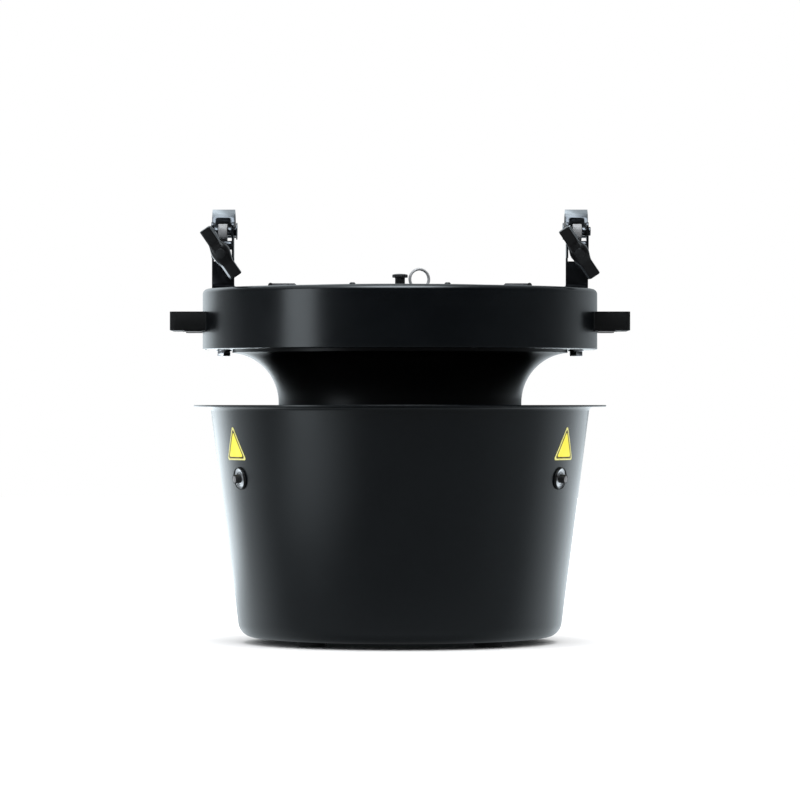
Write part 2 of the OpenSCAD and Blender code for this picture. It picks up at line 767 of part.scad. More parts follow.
// Jaw outline with the jaw closed on the tube, about the tube's axis
lever_face = pin_y + 9.6;
module lever_outline() difference() {
    union() {
        translate([pin_y, pin_z]) circle(r = boss_r);
        polygon([[pin_y - 3, pin_z - 9.3], [lever_face, nut_z + 7.2], [lever_face, nut_z - 4],
            [-17, -31], [-9, -31], [-9, -20], [-20, -2], [pin_y + 9, pin_z + 3.5]]);
    }
    circle(r = hook_r + 0.3);
    translate([pin_y, pin_z]) circle(d = pin_d + 2 * play);
}

module jaw(side) at_clamp(side) translate([0, pin_y, pin_z]) rotate([-lever_swing, 0, 0])
    translate([0, -pin_y, -pin_z]) across(lever_w) lever_outline();

module jaw_left() color("silver") jaw(-1);
module jaw_right() color("silver") jaw(1);

// A nose cap that the screw pushes against the jaw, domed in front
module clamp_nose(side) at_screw(side) translate([0, 0, nose_low]) difference() {
    intersection() {
        cylinder(d = nose_cap_d, h = nose_cap_h);
        translate([0, 0, nose_cap_h - 8]) sphere(r = 8);
    }
    translate([0, 0, -e]) cylinder(d = nose_d + 2 * play, h = 2.1);
}

module clamp_nose_left() color("silver") clamp_nose(-1);
module clamp_nose_right() color("silver") clamp_nose(1);

module clamp_screw(side) at_screw(side) {
    translate([0, 0, -knob_reach + 2]) cylinder(d = screw_d, h = knob_reach + nose_low - 2 - 0.3);
    cylinder(d = nose_d, h = nose_low + 1.8);
}

module clamp_screw_left() color("silver") clamp_screw(-1);
module clamp_screw_right() color("silver") clamp_screw(1);

// Wing knob: a domed hub with two flat square-ended wings
module clamp_knob(side) at_screw(side) translate([0, 0, -knob_reach]) rotate([0, 0, knob_turn])
    difference() {
        union() {
            translate([0, 0, knob_hub_low]) cylinder(d = knob_hub_d, h = knob_hub_h);
            translate([0, 0, knob_hub_low + e]) intersection() {
                cylinder(d = knob_hub_d, h = knob_hub_h / 2 + 0.5, center = true);
                translate([0, 0, knob_dome_r - 4.5]) sphere(r = knob_dome_r);
            }
            translate([-knob_l / 2, -wing_w / 2, wing_low]) cube([knob_l, wing_w, wing_t]);
        }
        translate([0, 0, 2]) cylinder(d = screw_d + 2 * play, h = knob_hub_h);
    }

module clamp_knob_left() color([0.04, 0.04, 0.045]) clamp_knob(-1);
module clamp_knob_right() color([0.04, 0.04, 0.045]) clamp_knob(1);

// ---- connectors ----

frame_l = frame_w + 4;
frame_t = 5;
frame_hole_x = 13;
frame_hole_y = 17;
frame_csk_d = 8.4;
frame_csk_h = 2.7;
socket_d = 24;
socket_depth = 38;
plug_d = 19;
hinge_pin_d = 3;
flap_t = 6.6;
flap_hinge_x = 18;
flap_hinge_z = frame_t + 3.8;
lug_y = 14;
flap_l = 28;
top_screw_l = 7.5;

// The frame of a connector: x = 0 in its middle and outwards, z = 0 on the drum
module at_connector(side) translate([side * connector_x, connector_y, drum_top + seat])
    mirror_x(side) children();

module at_frame_screws(side) translate([side * connector_x, connector_y, 0])
    for (x = [-frame_hole_x, frame_hole_x]) for (y = [-frame_hole_y, frame_hole_y])
        translate([x, y, 0]) children();

module socket(side) difference() {
    at_connector(side) difference() {
        union() {
            translate([-frame_w / 2, -frame_l / 2, 0]) cube([frame_w, frame_l, frame_t]);
            translate([0, 0, -socket_depth]) cylinder(d = socket_d, h = socket_depth + e);
            for (y = [-1, 1]) translate([flap_hinge_x, y * (lug_y + 2), 0]) rotate([90, 0, 0])
                translate([0, 0, -2]) linear_extrude(height = 4) {
                    translate([0, flap_hinge_z]) circle(r = 3.4);
                    translate([-3.4, 0]) square([5.4, flap_hinge_z]);
                }
        }
        translate([0, 0, -8]) cylinder(d = plug_d, h = 20);
    }
    at_frame_screws(side) {
        translate([0, 0, drum_top - 1]) cylinder(d = m4 + 2 * clear, h = 10);
        translate([0, 0, drum_top + seat + frame_t - frame_csk_h]) cylinder(d = frame_csk_d, h = 10);
    }
}

// Each socket with the hinge pin of its flap
module socket_with_pin(side) {
    socket(side);
    at_connector(side) translate([flap_hinge_x, 0, flap_hinge_z]) rotate([90, 0, 0])
        cylinder(d = hinge_pin_d, h = 2 * lug_y + 8, center = true);
}

module power_socket() color([0.06, 0.06, 0.06]) socket_with_pin(-1);
module data_socket() color([0.06, 0.06, 0.06]) socket_with_pin(1);

module flap(side) at_connector(side) difference() {
    union() {
        translate([0, flap_l / 2 - 0.6, 0]) rotate([90, 0, 0]) linear_extrude(height = flap_l - 1.2)
            polygon([[flap_hinge_x - 1, frame_t + 0.5], [flap_hinge_x - 1, frame_t + flap_t],
                [-15, frame_t + flap_t], [-19.5, frame_t + 2.5], [-19.5, frame_t + 0.5]]);
        translate([flap_hinge_x, 0, flap_hinge_z]) rotate([90, 0, 0])
            cylinder(r = 3.2, h = 2 * lug_y - 1.2, center = true);
    }
    translate([flap_hinge_x, 0, flap_hinge_z]) rotate([90, 0, 0])
        cylinder(d = hinge_pin_d + 2 * play, h = 2 * flap_l, center = true);
}

module power_flap() color([0.3, 0.31, 0.33]) flap(-1);
module data_flap() color([0.3, 0.31, 0.33]) flap(1);

// Screws of the grille and of the connector frames
module top_screws() color([0.1, 0.1, 0.1]) {
    ring_of(plate_screws_n, grille_screw_r, screw_phase)
        translate([0, 0, drum_top + grille_t + seat * 1.5]) pan_screw(m4, top_screw_l);
    for (side = [-1, 1]) at_frame_screws(side)
        translate([0, 0, drum_top + seat * 1.5 + frame_t - frame_csk_h]) pan_screw(m4, top_screw_l);
}

// ---- fuse, safety eye and control case ----

eye_x = 27;
eye_ring_r = 15.8;
eye_wire_d = 3.8;
eye_turn = 18;
eye_rise = 35.6;
eye_z = drum_top + eye_rise - eye_ring_r;
eye_foot_d = 12;
eye_stud_d = 10;
eye_stud_in = 14;
eye_nut_h = 8;
fuse_d = 14;
fuse_in = 36;
fuse_neck_d = 10;
fuse_neck_h = 15;
fuse_bore_d = 6;
cap_d = 21.6;
cap_rise = 5.5;
cap_z = drum_top + cap_rise;
cap_top = drum_top + 27.4;
cap_head_h = 5;
cap_dome_h = 1.4;

module fuse_holder() color([0.05, 0.05, 0.05]) translate([0, service_y, 0]) difference() {
    union() {
        translate([0, 0, shell_under - fuse_in])
            cylinder(d = fuse_d, h = drum_top - shell_under + fuse_in);
        translate([0, 0, drum_top + seat]) hex(fuse_d + 4, 4);
        translate([0, 0, drum_top - 1]) cylinder(d = fuse_neck_d, h = fuse_neck_h + 1);
    }
    translate([0, 0, shell_under - fuse_in + 6])
        cylinder(d = fuse_bore_d, h = fuse_in + fuse_neck_h);
}

module fuse_link() color([0.8, 0.8, 0.75])
    translate([0, service_y, shell_under - fuse_in + 6 + seat]) cylinder(d = 5.2, h = 20);

module fuse_cap() color([0.03, 0.03, 0.03]) translate([0, service_y, 0]) difference() {
    union() {
        translate([0, 0, cap_z]) cylinder(d = fuse_d, h = cap_top - cap_head_h - cap_z);
        translate([0, 0, cap_top - cap_head_h - e])
            cylinder(d = cap_d, h = cap_head_h - cap_dome_h);
        translate([0, 0, cap_top - cap_dome_h - 2 * e])
            cylinder(d1 = cap_d, d2 = cap_d - 4 * cap_dome_h, h = cap_dome_h + 2 * e);
    }
    translate([0, 0, cap_z - 1])
        cylinder(d = fuse_neck_d + 2 * play, h = drum_top + fuse_neck_h + 1.2 - cap_z);
    ring_of(16, fuse_d / 2 + 0.4) translate([0, 0, cap_z - 1])
        cylinder(d = 1.6, h = fuse_neck_h + 0.5, $fn = 8);
}

module safety_eye() color("silver") translate([eye_x, service_y, 0]) {
    translate([0, 0, eye_z]) rotate([90, 0, eye_turn]) rotate_extrude()
        translate([eye_ring_r - eye_wire_d / 2, 0]) circle(d = eye_wire_d);
    translate([0, 0, drum_top + seat]) cylinder(d = eye_foot_d, h = 4);
    translate([0, 0, shell_under - eye_stud_in])
        cylinder(d = eye_stud_d, h = eye_stud_in + drum_t + 3.5);
}

module eye_nut() color("silver") translate([eye_x, service_y, shell_under - seat - eye_nut_h])
    difference() {
        hex(eye_stud_d + 6, eye_nut_h);
        translate([0, 0, -1]) cylinder(d = eye_stud_d + play, h = eye_nut_h + 2);
    }

case_w = 120;
case_h = 50;
case_gap = 12;
case_y = -(duct_flange_r + case_gap);
case_l = sqrt(pow(floor_r - floor_t, 2) - pow(case_w / 2, 2)) - 0.55 * case_gap + case_y;
case_wall = 2;
board_t = 1.6;
capacitor_d = 14;
capacitor_h = 22;

module control_case() color([0.5, 0.5, 0.52])
    translate([-case_w / 2, case_y - case_l, floor_top + seat]) difference() {
        cube([case_w, case_l, case_h]);
        translate([case_wall, case_wall, case_wall])
            cube([case_w - 2 * case_wall, case_l - 2 * case_wall, case_h - 2 * case_wall]);
    }

module control_board() color([0.05, 0.3, 0.15])
    translate([-case_w / 2 + 2 * case_wall, case_y - case_l + 2 * case_wall,
            floor_top + case_wall + 2 * seat]) {
        cube([case_w - 4 * case_wall, case_l - 4 * case_wall, board_t]);
        for (i = [0:3]) translate([0.85 * capacitor_d + i * (case_w - 4 * case_wall) / 4.3,
                case_l / 2 - 2 * case_wall, board_t - e])
            cylinder(d = capacitor_d, h = capacitor_h);
    }

// ---- bucket ----

bend_z = rim_z - bucket_t - rim_bend_r;
bend_x = wall_r(bend_z) + rim_bend_r / cos(tilt);
corner_z = foot_h + bucket_corner_r;
corner_x = wall_r(corner_z) - bucket_corner_r / cos(tilt);

module bucket_outline() polygon(concat(
    [[0, foot_h]],
    arc(corner_x, corner_z, bucket_corner_r, -90, -tilt),
    arc(bend_x, bend_z, rim_bend_r, 180 - tilt, 90),
    arc(rim_r - bucket_t / 2, rim_z - bucket_t / 2, bucket_t / 2, -90, 90, 6),
    arc(bend_x, bend_z, rim_bend_r + bucket_t, 90, 180 - tilt),
    arc(corner_x, corner_z, bucket_corner_r - bucket_t, -tilt, -90),
    [[0, foot_h + bucket_t]]));

module bucket_shell() color([0.03, 0.03, 0.035]) difference() {
    turned() bucket_outline();
    for (az = lock_az) at_lock(az) rotate([0, 90, 0])
        cylinder(d = barrel_d + 2 * clear, h = 20, center = true);
    at_feet() translate([0, 0, foot_h - 1]) cylinder(d = m5 + 2 * clear, h = bucket_t + 2);
}

// The frame of a lock: x = 0 on the wall's outer face and outwards along its normal
module at_lock(az) rotate([0, 0, az]) translate([wall_r(lock_z), 0, lock_z])
    rotate([0, tilt, 0]) children();

module lock_housings() color("silver") for (az = lock_az) at_lock(az) rotate([0, 90, 0])
    difference() {
        union() {
            translate([0, 0, seat]) cylinder(d = dish_d, h = dish_h);
            translate([0, 0, -barrel_in]) cylinder(d = barrel_d, h = barrel_in + barrel_out);
        }
        translate([0, 0, 1.2]) cylinder(d1 = button_d + 2, d2 = dish_d - 2, h = dish_h - 1);
        translate([0, 0, -barrel_in - 1]) cylinder(d = button_d + 2 * play, h = 2 * barrel_in);
    }

module lock_gaskets() color([0.04, 0.04, 0.04]) for (az = lock_az) at_lock(az)
    rotate([0, 90, 0]) tube(seat, lock_ring_h, ring_d / 2, dish_d / 2 + seat);

module lock_nuts() color("silver") for (az = lock_az) at_lock(az) rotate([0, 90, 0])
    translate([0, 0, -bucket_t - 0.8 - lock_nut_h]) difference() {
        rotate([0, 0, 30]) hex(lock_nut_af, lock_nut_h);
        translate([0, 0, -1]) cylinder(d = barrel_d + play, h = lock_nut_h + 2);
    }

module lock_button(az) at_lock(az) rotate([0, 90, 0]) {
    translate([0, 0, button_in]) cylinder(d = button_d, h = button_out - button_in - button_edge);
    translate([0, 0, button_out - button_edge - e])
        cylinder(d1 = button_d, d2 = button_d - 1.4, h = button_edge + e);
}

module lock_button_left() color([0.06, 0.06, 0.06]) lock_button(lock_az[0]);
module lock_button_right() color([0.06, 0.06, 0.06]) lock_button(lock_az[1]);
module lock_button_back() color([0.06, 0.06, 0.06]) lock_button(lock_az[2]);

shelf_top = arm_low - seat;
shelf_z = shelf_top - bracket_t;
leg_z = shelf_z - bracket_leg;
shelf_in = 34;

// The inner face of the bucket's wall at a height, less the seat of what is welded to it
function inside(z) = wall_r(z) - wall_in - 2 * seat;

// Shelves spot-welded to the bucket's wall, which carry the hanger arms
module rest_brackets() color([0.3, 0.3, 0.32]) for (az = lock_az) rotate([0, 0, az])
    intersection() {
        translate([0, -bracket_w / 2, leg_z]) cube([2 * bucket_top_r, bracket_w, shelf_top - leg_z]);
        turned() polygon([
            [inside(leg_z), leg_z], [inside(shelf_top), shelf_top],
            [inside(shelf_z) - shelf_in, shelf_top], [inside(shelf_z) - shelf_in, shelf_z],
            [inside(shelf_z) - bracket_t, shelf_z], [inside(leg_z) - bracket_t, leg_z]]);
    }

module at_feet() ring_of(4, foot_ring_r, 45) children();

module feet() color([0.03, 0.03, 0.03]) at_feet() difference() {
    union() {
        translate([0, 0, 1]) cylinder(d = foot_d, h = foot_h - seat - 1);
        cylinder(d1 = foot_d - 2, d2 = foot_d, h = 1 + e);
    }
    translate([0, 0, foot_h - 6]) cylinder(d = m5 + 2 * clear, h = 7);
}

module foot_screws() color("silver") at_feet()
    translate([0, 0, foot_h + bucket_t + seat / 2]) pan_screw(m5, foot_h);

drum_shell();
drum_floor();
floor_screws();
flared_neck();
plate_screws();
fan_duct();
motor_spider();
spider_screws();
motor_stator();
motor_winding();
motor_bearings();
intake_grille();
top_screws();
handle_left();
handle_right();
handle_plates();
handle_screws();
hanger_arms();
arm_screws();
clamp_hook_left();
clamp_hook_right();
clamp_bolts();
clamp_washers();
clamp_nuts();
clamp_spacers();
jaw_pins();
barrel_nuts();
power_socket();
data_socket();
fuse_holder();
fuse_link();
control_case();
control_board();
safety_eye();
eye_nut();
rotor_can();
fan_shaft();
impeller();
clamp_nose_left();
clamp_nose_right();
clamp_screw_left();
clamp_screw_right();
clamp_knob_left();
clamp_knob_right();
jaw_left();
jaw_right();
power_flap();
data_flap();
fuse_cap();
bucket_shell();
lock_housings();
lock_gaskets();
lock_nuts();
lock_button_left();
lock_button_right();
lock_button_back();
rest_brackets();
feet();
foot_screws();
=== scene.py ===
import math
import bmesh
import bpy
import numpy as np
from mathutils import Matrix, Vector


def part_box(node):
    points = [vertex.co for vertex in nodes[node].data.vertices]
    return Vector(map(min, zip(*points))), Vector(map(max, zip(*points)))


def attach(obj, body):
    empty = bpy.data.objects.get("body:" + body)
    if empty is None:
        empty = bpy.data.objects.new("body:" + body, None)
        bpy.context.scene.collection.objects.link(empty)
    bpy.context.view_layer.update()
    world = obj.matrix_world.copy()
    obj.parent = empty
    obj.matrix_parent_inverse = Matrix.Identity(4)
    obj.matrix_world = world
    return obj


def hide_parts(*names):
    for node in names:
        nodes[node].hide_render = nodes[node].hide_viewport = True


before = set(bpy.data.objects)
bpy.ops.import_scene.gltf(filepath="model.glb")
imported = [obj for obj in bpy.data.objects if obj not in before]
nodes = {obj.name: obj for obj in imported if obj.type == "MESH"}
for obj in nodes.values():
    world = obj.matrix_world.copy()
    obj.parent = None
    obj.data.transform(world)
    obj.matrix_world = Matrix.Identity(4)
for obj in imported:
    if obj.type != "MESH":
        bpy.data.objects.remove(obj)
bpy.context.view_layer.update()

scene = bpy.context.scene

# ---- Camera ----
# A studio camera with a long lens stands level with the bucket's rim, square on to the front.
# It is neither tilted nor turned; a small shift of the lens sets the fan's height in the frame.
rim_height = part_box("bucket_shell")[1].z
view_distance = 5.8
view_width = 1.08
lens = bpy.data.cameras.new("studio_camera")
lens.sensor_width = 36
lens.lens = lens.sensor_width * view_distance / view_width
lens.shift_y = 0.00625
lens.clip_end = 60
camera = bpy.data.objects.new("studio_camera", lens)
camera.location = (0, -view_distance, rim_height)
camera.rotation_euler = (math.radians(90), 0, 0)
scene.collection.objects.link(camera)
scene.camera = camera
scene.view_settings.view_transform = "Standard"


# ---- Studio ----
# A sweep of white paper under soft boxes. In reflections it is bright behind the fan and in a
# patch overhead, and dim towards the camera, so that satin black shows white edges and a dark
# face. A strip box at the front left shows in the paint.
def wire(tree, source, socket):
    """Links an output to an input socket, or writes a plain value into the input."""
    if isinstance(source, bpy.types.NodeSocket):
        tree.links.new(source, socket)
    else:
        socket.default_value = source


def math_node(tree, operation, value, *others):
    """Works each of the others into the value, with one Math node for each; the last output."""
    for other in others:
        node = tree.nodes.new("ShaderNodeMath")
        node.operation = operation
        wire(tree, value, node.inputs[0])
        wire(tree, other, node.inputs[1])
        value = node.outputs[0]
    return value


def vector_node(tree, operation, a, b=(0, 0, 0)):
    """A Vector Math node; its vector, or its number for a product, a length or a distance."""
    node = tree.nodes.new("ShaderNodeVectorMath")
    node.operation = operation
    wire(tree, a, node.inputs[0])
    wire(tree, b, node.inputs[1])
    return node.outputs["Value" if operation in ("DOT_PRODUCT", "LENGTH", "DISTANCE") else "Vector"]


def split(tree, vector):
    """The X, Y and Z of a vector."""
    node = tree.nodes.new("ShaderNodeSeparateXYZ")
    wire(tree, vector, node.inputs[0])
    return tuple(node.outputs)


def ease(tree, value, low, high, start=0.0, end=1.0):
    """A smooth step: start where value is low, end where it is high."""
    node = tree.nodes.new("ShaderNodeMapRange")
    node.interpolation_type = "SMOOTHSTEP"
    wire(tree, value, node.inputs["Value"])
    for label, number in (("From Min", low), ("From Max", high), ("To Min", start), ("To Max", end)):
        wire(tree, number, node.inputs[label])
    return node.outputs["Result"]


def blend_colour(tree, fac, a, b):
    """Colour a where fac is 0 and b where it is 1."""
    node = tree.nodes.new("ShaderNodeMix")
    node.data_type = "RGBA"
    for source, socket in ((fac, node.inputs[0]), (a, node.inputs[6]), (b, node.inputs[7])):
        wire(tree, source, socket)
    return node.outputs[2]


# The world is white to the eye and a soft fill for plain light. In reflections it is dim, with
# a glow behind, one bright lobe behind on the left, and a patch overhead a little in front.
white = (1, 1, 1, 1)
cool = (0.87, 0.965, 1.02, 1)
lobe_way = (-0.42, 0.907, 0)
patch_way = (0, -0.46, 0.888)
world = bpy.data.worlds.new("studio")
world.use_nodes = True
scene.world = world
tree = world.node_tree
heading = tree.nodes.new("ShaderNodeTexCoord").outputs["Generated"]
heading_x, heading_y, heading_z = split(tree, heading)
level_heading = vector_node(tree, "NORMALIZE", vector_node(tree, "MULTIPLY", heading, (1, 1, 0)))
lobe = ease(tree, vector_node(tree, "DOT_PRODUCT", level_heading, lobe_way), 0.92, 0.99)
behind = ease(tree, heading_y, 0.2, 0.75, 0.0, 0.38)
beside = ease(tree, heading_y, -0.9, 0.4, 0.006, 0.14)
ceiling = ease(tree, heading_z, 0.4, 0.95, 0.0, 1.5)
patch = ease(tree, vector_node(tree, "DOT_PRODUCT", heading, patch_way), 0.9, 0.985, 0.0, 8.5)
above = math_node(tree, "MULTIPLY", math_node(tree, "ADD", ceiling, patch),
                  ease(tree, heading_x, 0.15, 0.6, 1.0, 0.12),
                  ease(tree, heading_y, 0.0, 0.4, 1.0, 0.15))
sweep = math_node(tree, "ADD", behind, beside, lobe, above)
fill = ease(tree, heading_z, 0.0, 0.4, 0.55, 1.28)
ray = tree.nodes.new("ShaderNodeLightPath").outputs
mirror_ray = ray["Is Glossy Ray"]
level = math_node(tree, "ADD", math_node(tree, "MULTIPLY", mirror_ray, sweep),
                  math_node(tree, "MULTIPLY", math_node(tree, "SUBTRACT", 1.0, mirror_ray), fill))
seen = math_node(tree, "MAXIMUM", ray["Is Camera Ray"], ray["Is Transmission Ray"])
background = tree.nodes["Background"]
wire(tree, math_node(tree, "MAXIMUM", seen, level), background.inputs["Strength"])
wire(tree, blend_colour(tree, mirror_ray, white, cool), background.inputs["Color"])


def soft_box(name, place, aim, size, watts, colour=(1, 1, 1), in_reflections=False):
    """A rectangular soft light at a place, turned towards aim."""
    light = bpy.data.lights.new(name, "AREA")
    light.shape = "RECTANGLE"
    light.size, light.size_y = size
    light.energy = watts
    light.color = colour
    lamp = bpy.data.objects.new(name, light)
    out = np.array(place, float) - np.array(aim, float)
    out /= np.linalg.norm(out)
    lamp.rotation_euler = (math.acos(out[2]), 0, math.atan2(out[0], -out[1]))
    lamp.location = place
    lamp.visible_glossy = in_reflections
    scene.collection.objects.link(lamp)


middle = (0, 0, 0.3)
soft_box("overhead_box", (0, -0.1, 2.6), middle, (2.2, 1.8), 80)
soft_box("strip_box", (-1.84, -1.22, 0.62), (0, 0, 0.62), (0.74, 1.5), 10.3, (0.88, 0.97, 1.03), True)
soft_box("front_fill", (0.8, -3.2, 2.2), middle, (2.0, 1.4), 30)

# The floor shows white around a soft grey shadow. In reflections it glows with painted light: bright behind
# the fan and in one painted pool of light at the front left, with a painted shadow close to the feet. It
# stays under the feet when the bucket comes down off the head.
floor_reach = 9.0
pool_centre = (-1.06, -0.84, 0)
floor_mesh = bpy.data.meshes.new("studio_floor")
floor_mesh.from_pydata([(-floor_reach, -floor_reach, 0), (floor_reach, -floor_reach, 0),
                        (floor_reach, floor_reach, 0), (-floor_reach, floor_reach, 0)],
                       [], [(0, 1, 2, 3)])
floor = bpy.data.objects.new("studio_floor", floor_mesh)
scene.collection.objects.link(floor)
paper = bpy.data.materials.new("studio_paper")
paper.use_nodes = True
tree = paper.node_tree
tree.nodes.clear()
spot = tree.nodes.new("ShaderNodeTexCoord").outputs["Object"]
spot_x, spot_y = split(tree, spot)[:2]
away = vector_node(tree, "LENGTH", spot)
# The turn runs from about -1 in front of the fan to 1 behind it.
turn = math_node(tree, "DIVIDE", math_node(tree, "ADD", spot_y, 0.19), away)
front = ease(tree, turn, -0.8, -0.1, 0.2, 0.34)
side_on = ease(tree, turn, -0.1, 0.6, 0.0, 0.71)
left_extra = math_node(tree, "MULTIPLY", ease(tree, away, 0.7, 1.25, 0.0, 1.25),
                       ease(tree, spot_x, -0.2, 0.2, 1.0, 0.0))
rear = math_node(tree, "MULTIPLY", ease(tree, turn, 0.5, 0.85),
                 math_node(tree, "ADD", left_extra, ease(tree, away, 0.35, 0.9, 0.3, 0.75)))
# A painted pool of light at the front left, seen only in reflections.
pool = ease(tree, vector_node(tree, "DISTANCE", spot, pool_centre), 0.15, 0.8, 0.85, 0.0)
# A painted shadow: the reflected glow fades to dark close to the feet.
painted_feet_shadow = ease(tree, away, 0.17, 0.25, 0.12, 1.0)
ray = tree.nodes.new("ShaderNodeLightPath").outputs
mirrored = tree.nodes.new("ShaderNodeEmission")
wire(tree, cool, mirrored.inputs["Color"])
wire(tree, math_node(tree, "MULTIPLY", math_node(tree, "ADD", front, side_on, rear, pool), painted_feet_shadow),
     mirrored.inputs["Strength"])
glow = tree.nodes.new("ShaderNodeEmission")
seen = math_node(tree, "MAXIMUM", ray["Is Camera Ray"], ray["Is Transmission Ray"])
wire(tree, math_node(tree, "MULTIPLY", seen, ease(tree, away, 0.5, 2.2)), glow.inputs["Strength"])
matt = tree.nodes.new("ShaderNodeBsdfDiffuse")
wire(tree, (0.82, 0.825, 0.83, 1), matt.inputs["Color"])
both = tree.nodes.new("ShaderNodeAddShader")
wire(tree, matt.outputs[0], both.inputs[0])
wire(tree, glow.outputs[0], both.inputs[1])
choose = tree.nodes.new("ShaderNodeMixShader")
wire(tree, ray["Is Glossy Ray"], choose.inputs[0])
wire(tree, both.outputs[0], choose.inputs[1])
wire(tree, mirrored.outputs[0], choose.inputs[2])
wire(tree, choose.outputs[0], tree.nodes.new("ShaderNodeOutputMaterial").inputs[0])
floor_mesh.materials.append(paper)
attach(floor, "bucket")


# ---- Drum ----
# The drum is a flat aluminium can, spun over a former, with a rounded upper edge and a small
# rolled lower edge. It is sprayed satin black, and eight bosses in it take the floor's screws.
def arc(x, y, radius, start, end, count):
    """Points (x + radius cos a, y + radius sin a) with a from start to end, in degrees, in count
    equal steps."""
    a = np.radians(np.linspace(start, end, count + 1))
    return np.stack([x + radius * np.cos(a), y + radius * np.sin(a)], -1)


def grid(points, loop_u=False):
    """Quads over points[u, v], with the last column joined to the first, and the last row too
    if loop_u is set. They are turned so that the sum of the faces' signed volumes is positive."""
    index = np.arange(points.shape[0] * points.shape[1]).reshape(points.shape[:2])
    a, b = (index, np.roll(index, -1, 0)) if loop_u else (index[:-1], index[1:])
    quads = np.stack([a, b, np.roll(b, -1, 1), np.roll(a, -1, 1)], -1).reshape(-1, 4)
    verts = points.reshape(-1, 3)
    p, q, r, s = (verts[quads[:, k]] for k in range(4))
    volume = np.einsum("ij,ij->", p, np.cross(q, r)) + np.einsum("ij,ij->", p, np.cross(r, s))
    return verts, quads if volume > 0 else quads[:, ::-1]


def spun(profile, steps, closed=True):
    """Turns a profile about Z: (r, z) becomes (r cos t, r sin t, z) for t round the circle.
    A profile that isn't closed starts and ends on the axis."""
    t = np.linspace(0, 2 * np.pi, steps, endpoint=False)
    r, z = np.asarray(profile, float).T
    points = np.stack([np.outer(r, np.cos(t)), np.outer(r, np.sin(t)),
                       np.outer(z, np.ones(steps))], -1)
    return grid(points, loop_u=closed)


def held(profile):
    """The profile with two more points near the ends of each long straight run, so that the
    shading stays flat along it."""
    inset = 0.0004
    profile = np.asarray(profile, float)
    points = [profile[0]]
    for start, end in zip(profile[:-1], profile[1:]):
        length = np.hypot(*(end - start))
        if length > 8 * inset:
            points += [start + (end - start) * inset / length, end - (end - start) * inset / length]
        points.append(end)
    return np.array(points)


def placed(shell, origin, x=(1, 0, 0), y=(0, 1, 0), z=(0, 0, 1)):
    """The shell in a frame of its own: origin + px x + py y + pz z."""
    verts, faces = shell
    return verts @ np.array([x, y, z], float) + np.array(origin, float), faces


def merged(mesh, material, sharp):
    """The mesh with its poles and seams merged, smooth but for edges that turn by more than
    sharp degrees, in one material."""
    work = bmesh.new()
    work.from_mesh(mesh)
    bmesh.ops.remove_doubles(work, verts=work.verts, dist=1e-6)
    bmesh.ops.dissolve_degenerate(work, edges=work.edges, dist=1e-7)
    work.to_mesh(mesh)
    work.free()
    mesh.shade_smooth()
    mesh.set_sharp_from_angle(angle=math.radians(sharp))
    mesh.materials.append(material)
    return mesh


def fitted(piece, body, replaces=()):
    """Links a piece and lets it ride on a CAD body, in the place of CAD nodes."""
    scene.collection.objects.link(piece)
    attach(piece, body)
    if replaces:
        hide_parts(*replaces)


def shown(name, shells, body, material, replaces, sharp=35):
    """One object made of closed shells, each as its verts and faces, merged and fitted."""
    verts, faces, offset = [], [], 0
    for v, f in shells:
        verts.append(v)
        faces.extend((f + offset).tolist())
        offset += len(v)
    mesh = bpy.data.meshes.new(name)
    mesh.from_pydata(np.concatenate(verts).tolist(), [], faces)
    fitted(bpy.data.objects.new(name, merged(mesh, material, sharp)), body, replaces)


def group(name, inputs, outputs):
    """An empty shader group with its sockets, as (name, type, default) and (name, type)."""
    tree = bpy.data.node_groups.new(name, "ShaderNodeTree")
    for label, kind, value in inputs:
        socket = tree.interface.new_socket(label, in_out="INPUT", socket_type="NodeSocket" + kind)
        socket.default_value = value
    for label, kind in outputs:
        tree.interface.new_socket(label, in_out="OUTPUT", socket_type="NodeSocket" + kind)
    return tree, tree.nodes.new("NodeGroupInput").outputs, tree.nodes.new("NodeGroupOutput").inputs


def noise(tree, scale, detail, roughness=0.5, vector=None):
    """A Noise texture on Object coordinates, or on the vector given; its value."""
    node = tree.nodes.new("ShaderNodeTexNoise")
    if vector is None:
        vector = tree.nodes.new("ShaderNodeTexCoord").outputs["Object"]
    for label, source in (("Vector", vector), ("Scale", scale), ("Detail", detail),
                          ("Roughness", roughness)):
        wire(tree, source, node.inputs[label])
    return node.outputs["Fac"]


def blend(tree, fac, a, b):
    """The number a where fac is 0 and b where it is 1."""
    span = math_node(tree, "SUBTRACT", b, a)
    return math_node(tree, "ADD", a, math_node(tree, "MULTIPLY", span, fac))


# Grain: the fine, even texture of a sprayed, moulded or powder-coated face, with broad
# patches where it is a little paler and rougher.
grain, given, out = group(
    "grain",
    [("Scale", "Float", 900.0), ("Dark", "Color", (0, 0, 0, 1)), ("Pale", "Color", (0.01, 0.01, 0.01, 1)),
     ("Smooth", "Float", 0.3), ("Rough", "Float", 0.4)],
    [("Colour", "Color"), ("Roughness", "Float"), ("Height", "Float")])
patches = ease(grain, noise(grain, 14.0, 4, 0.6), 0.3, 0.7)
fine = noise(grain, given["Scale"], 2, 0.6)
speck = math_node(grain, "ADD", math_node(grain, "MULTIPLY", patches, 0.6),
                  math_node(grain, "MULTIPLY", fine, 0.4))
wire(grain, blend_colour(grain, speck, given["Dark"], given["Pale"]), out["Colour"])
wire(grain, blend(grain, speck, given["Smooth"], given["Rough"]), out["Roughness"])
wire(grain, fine, out["Height"])

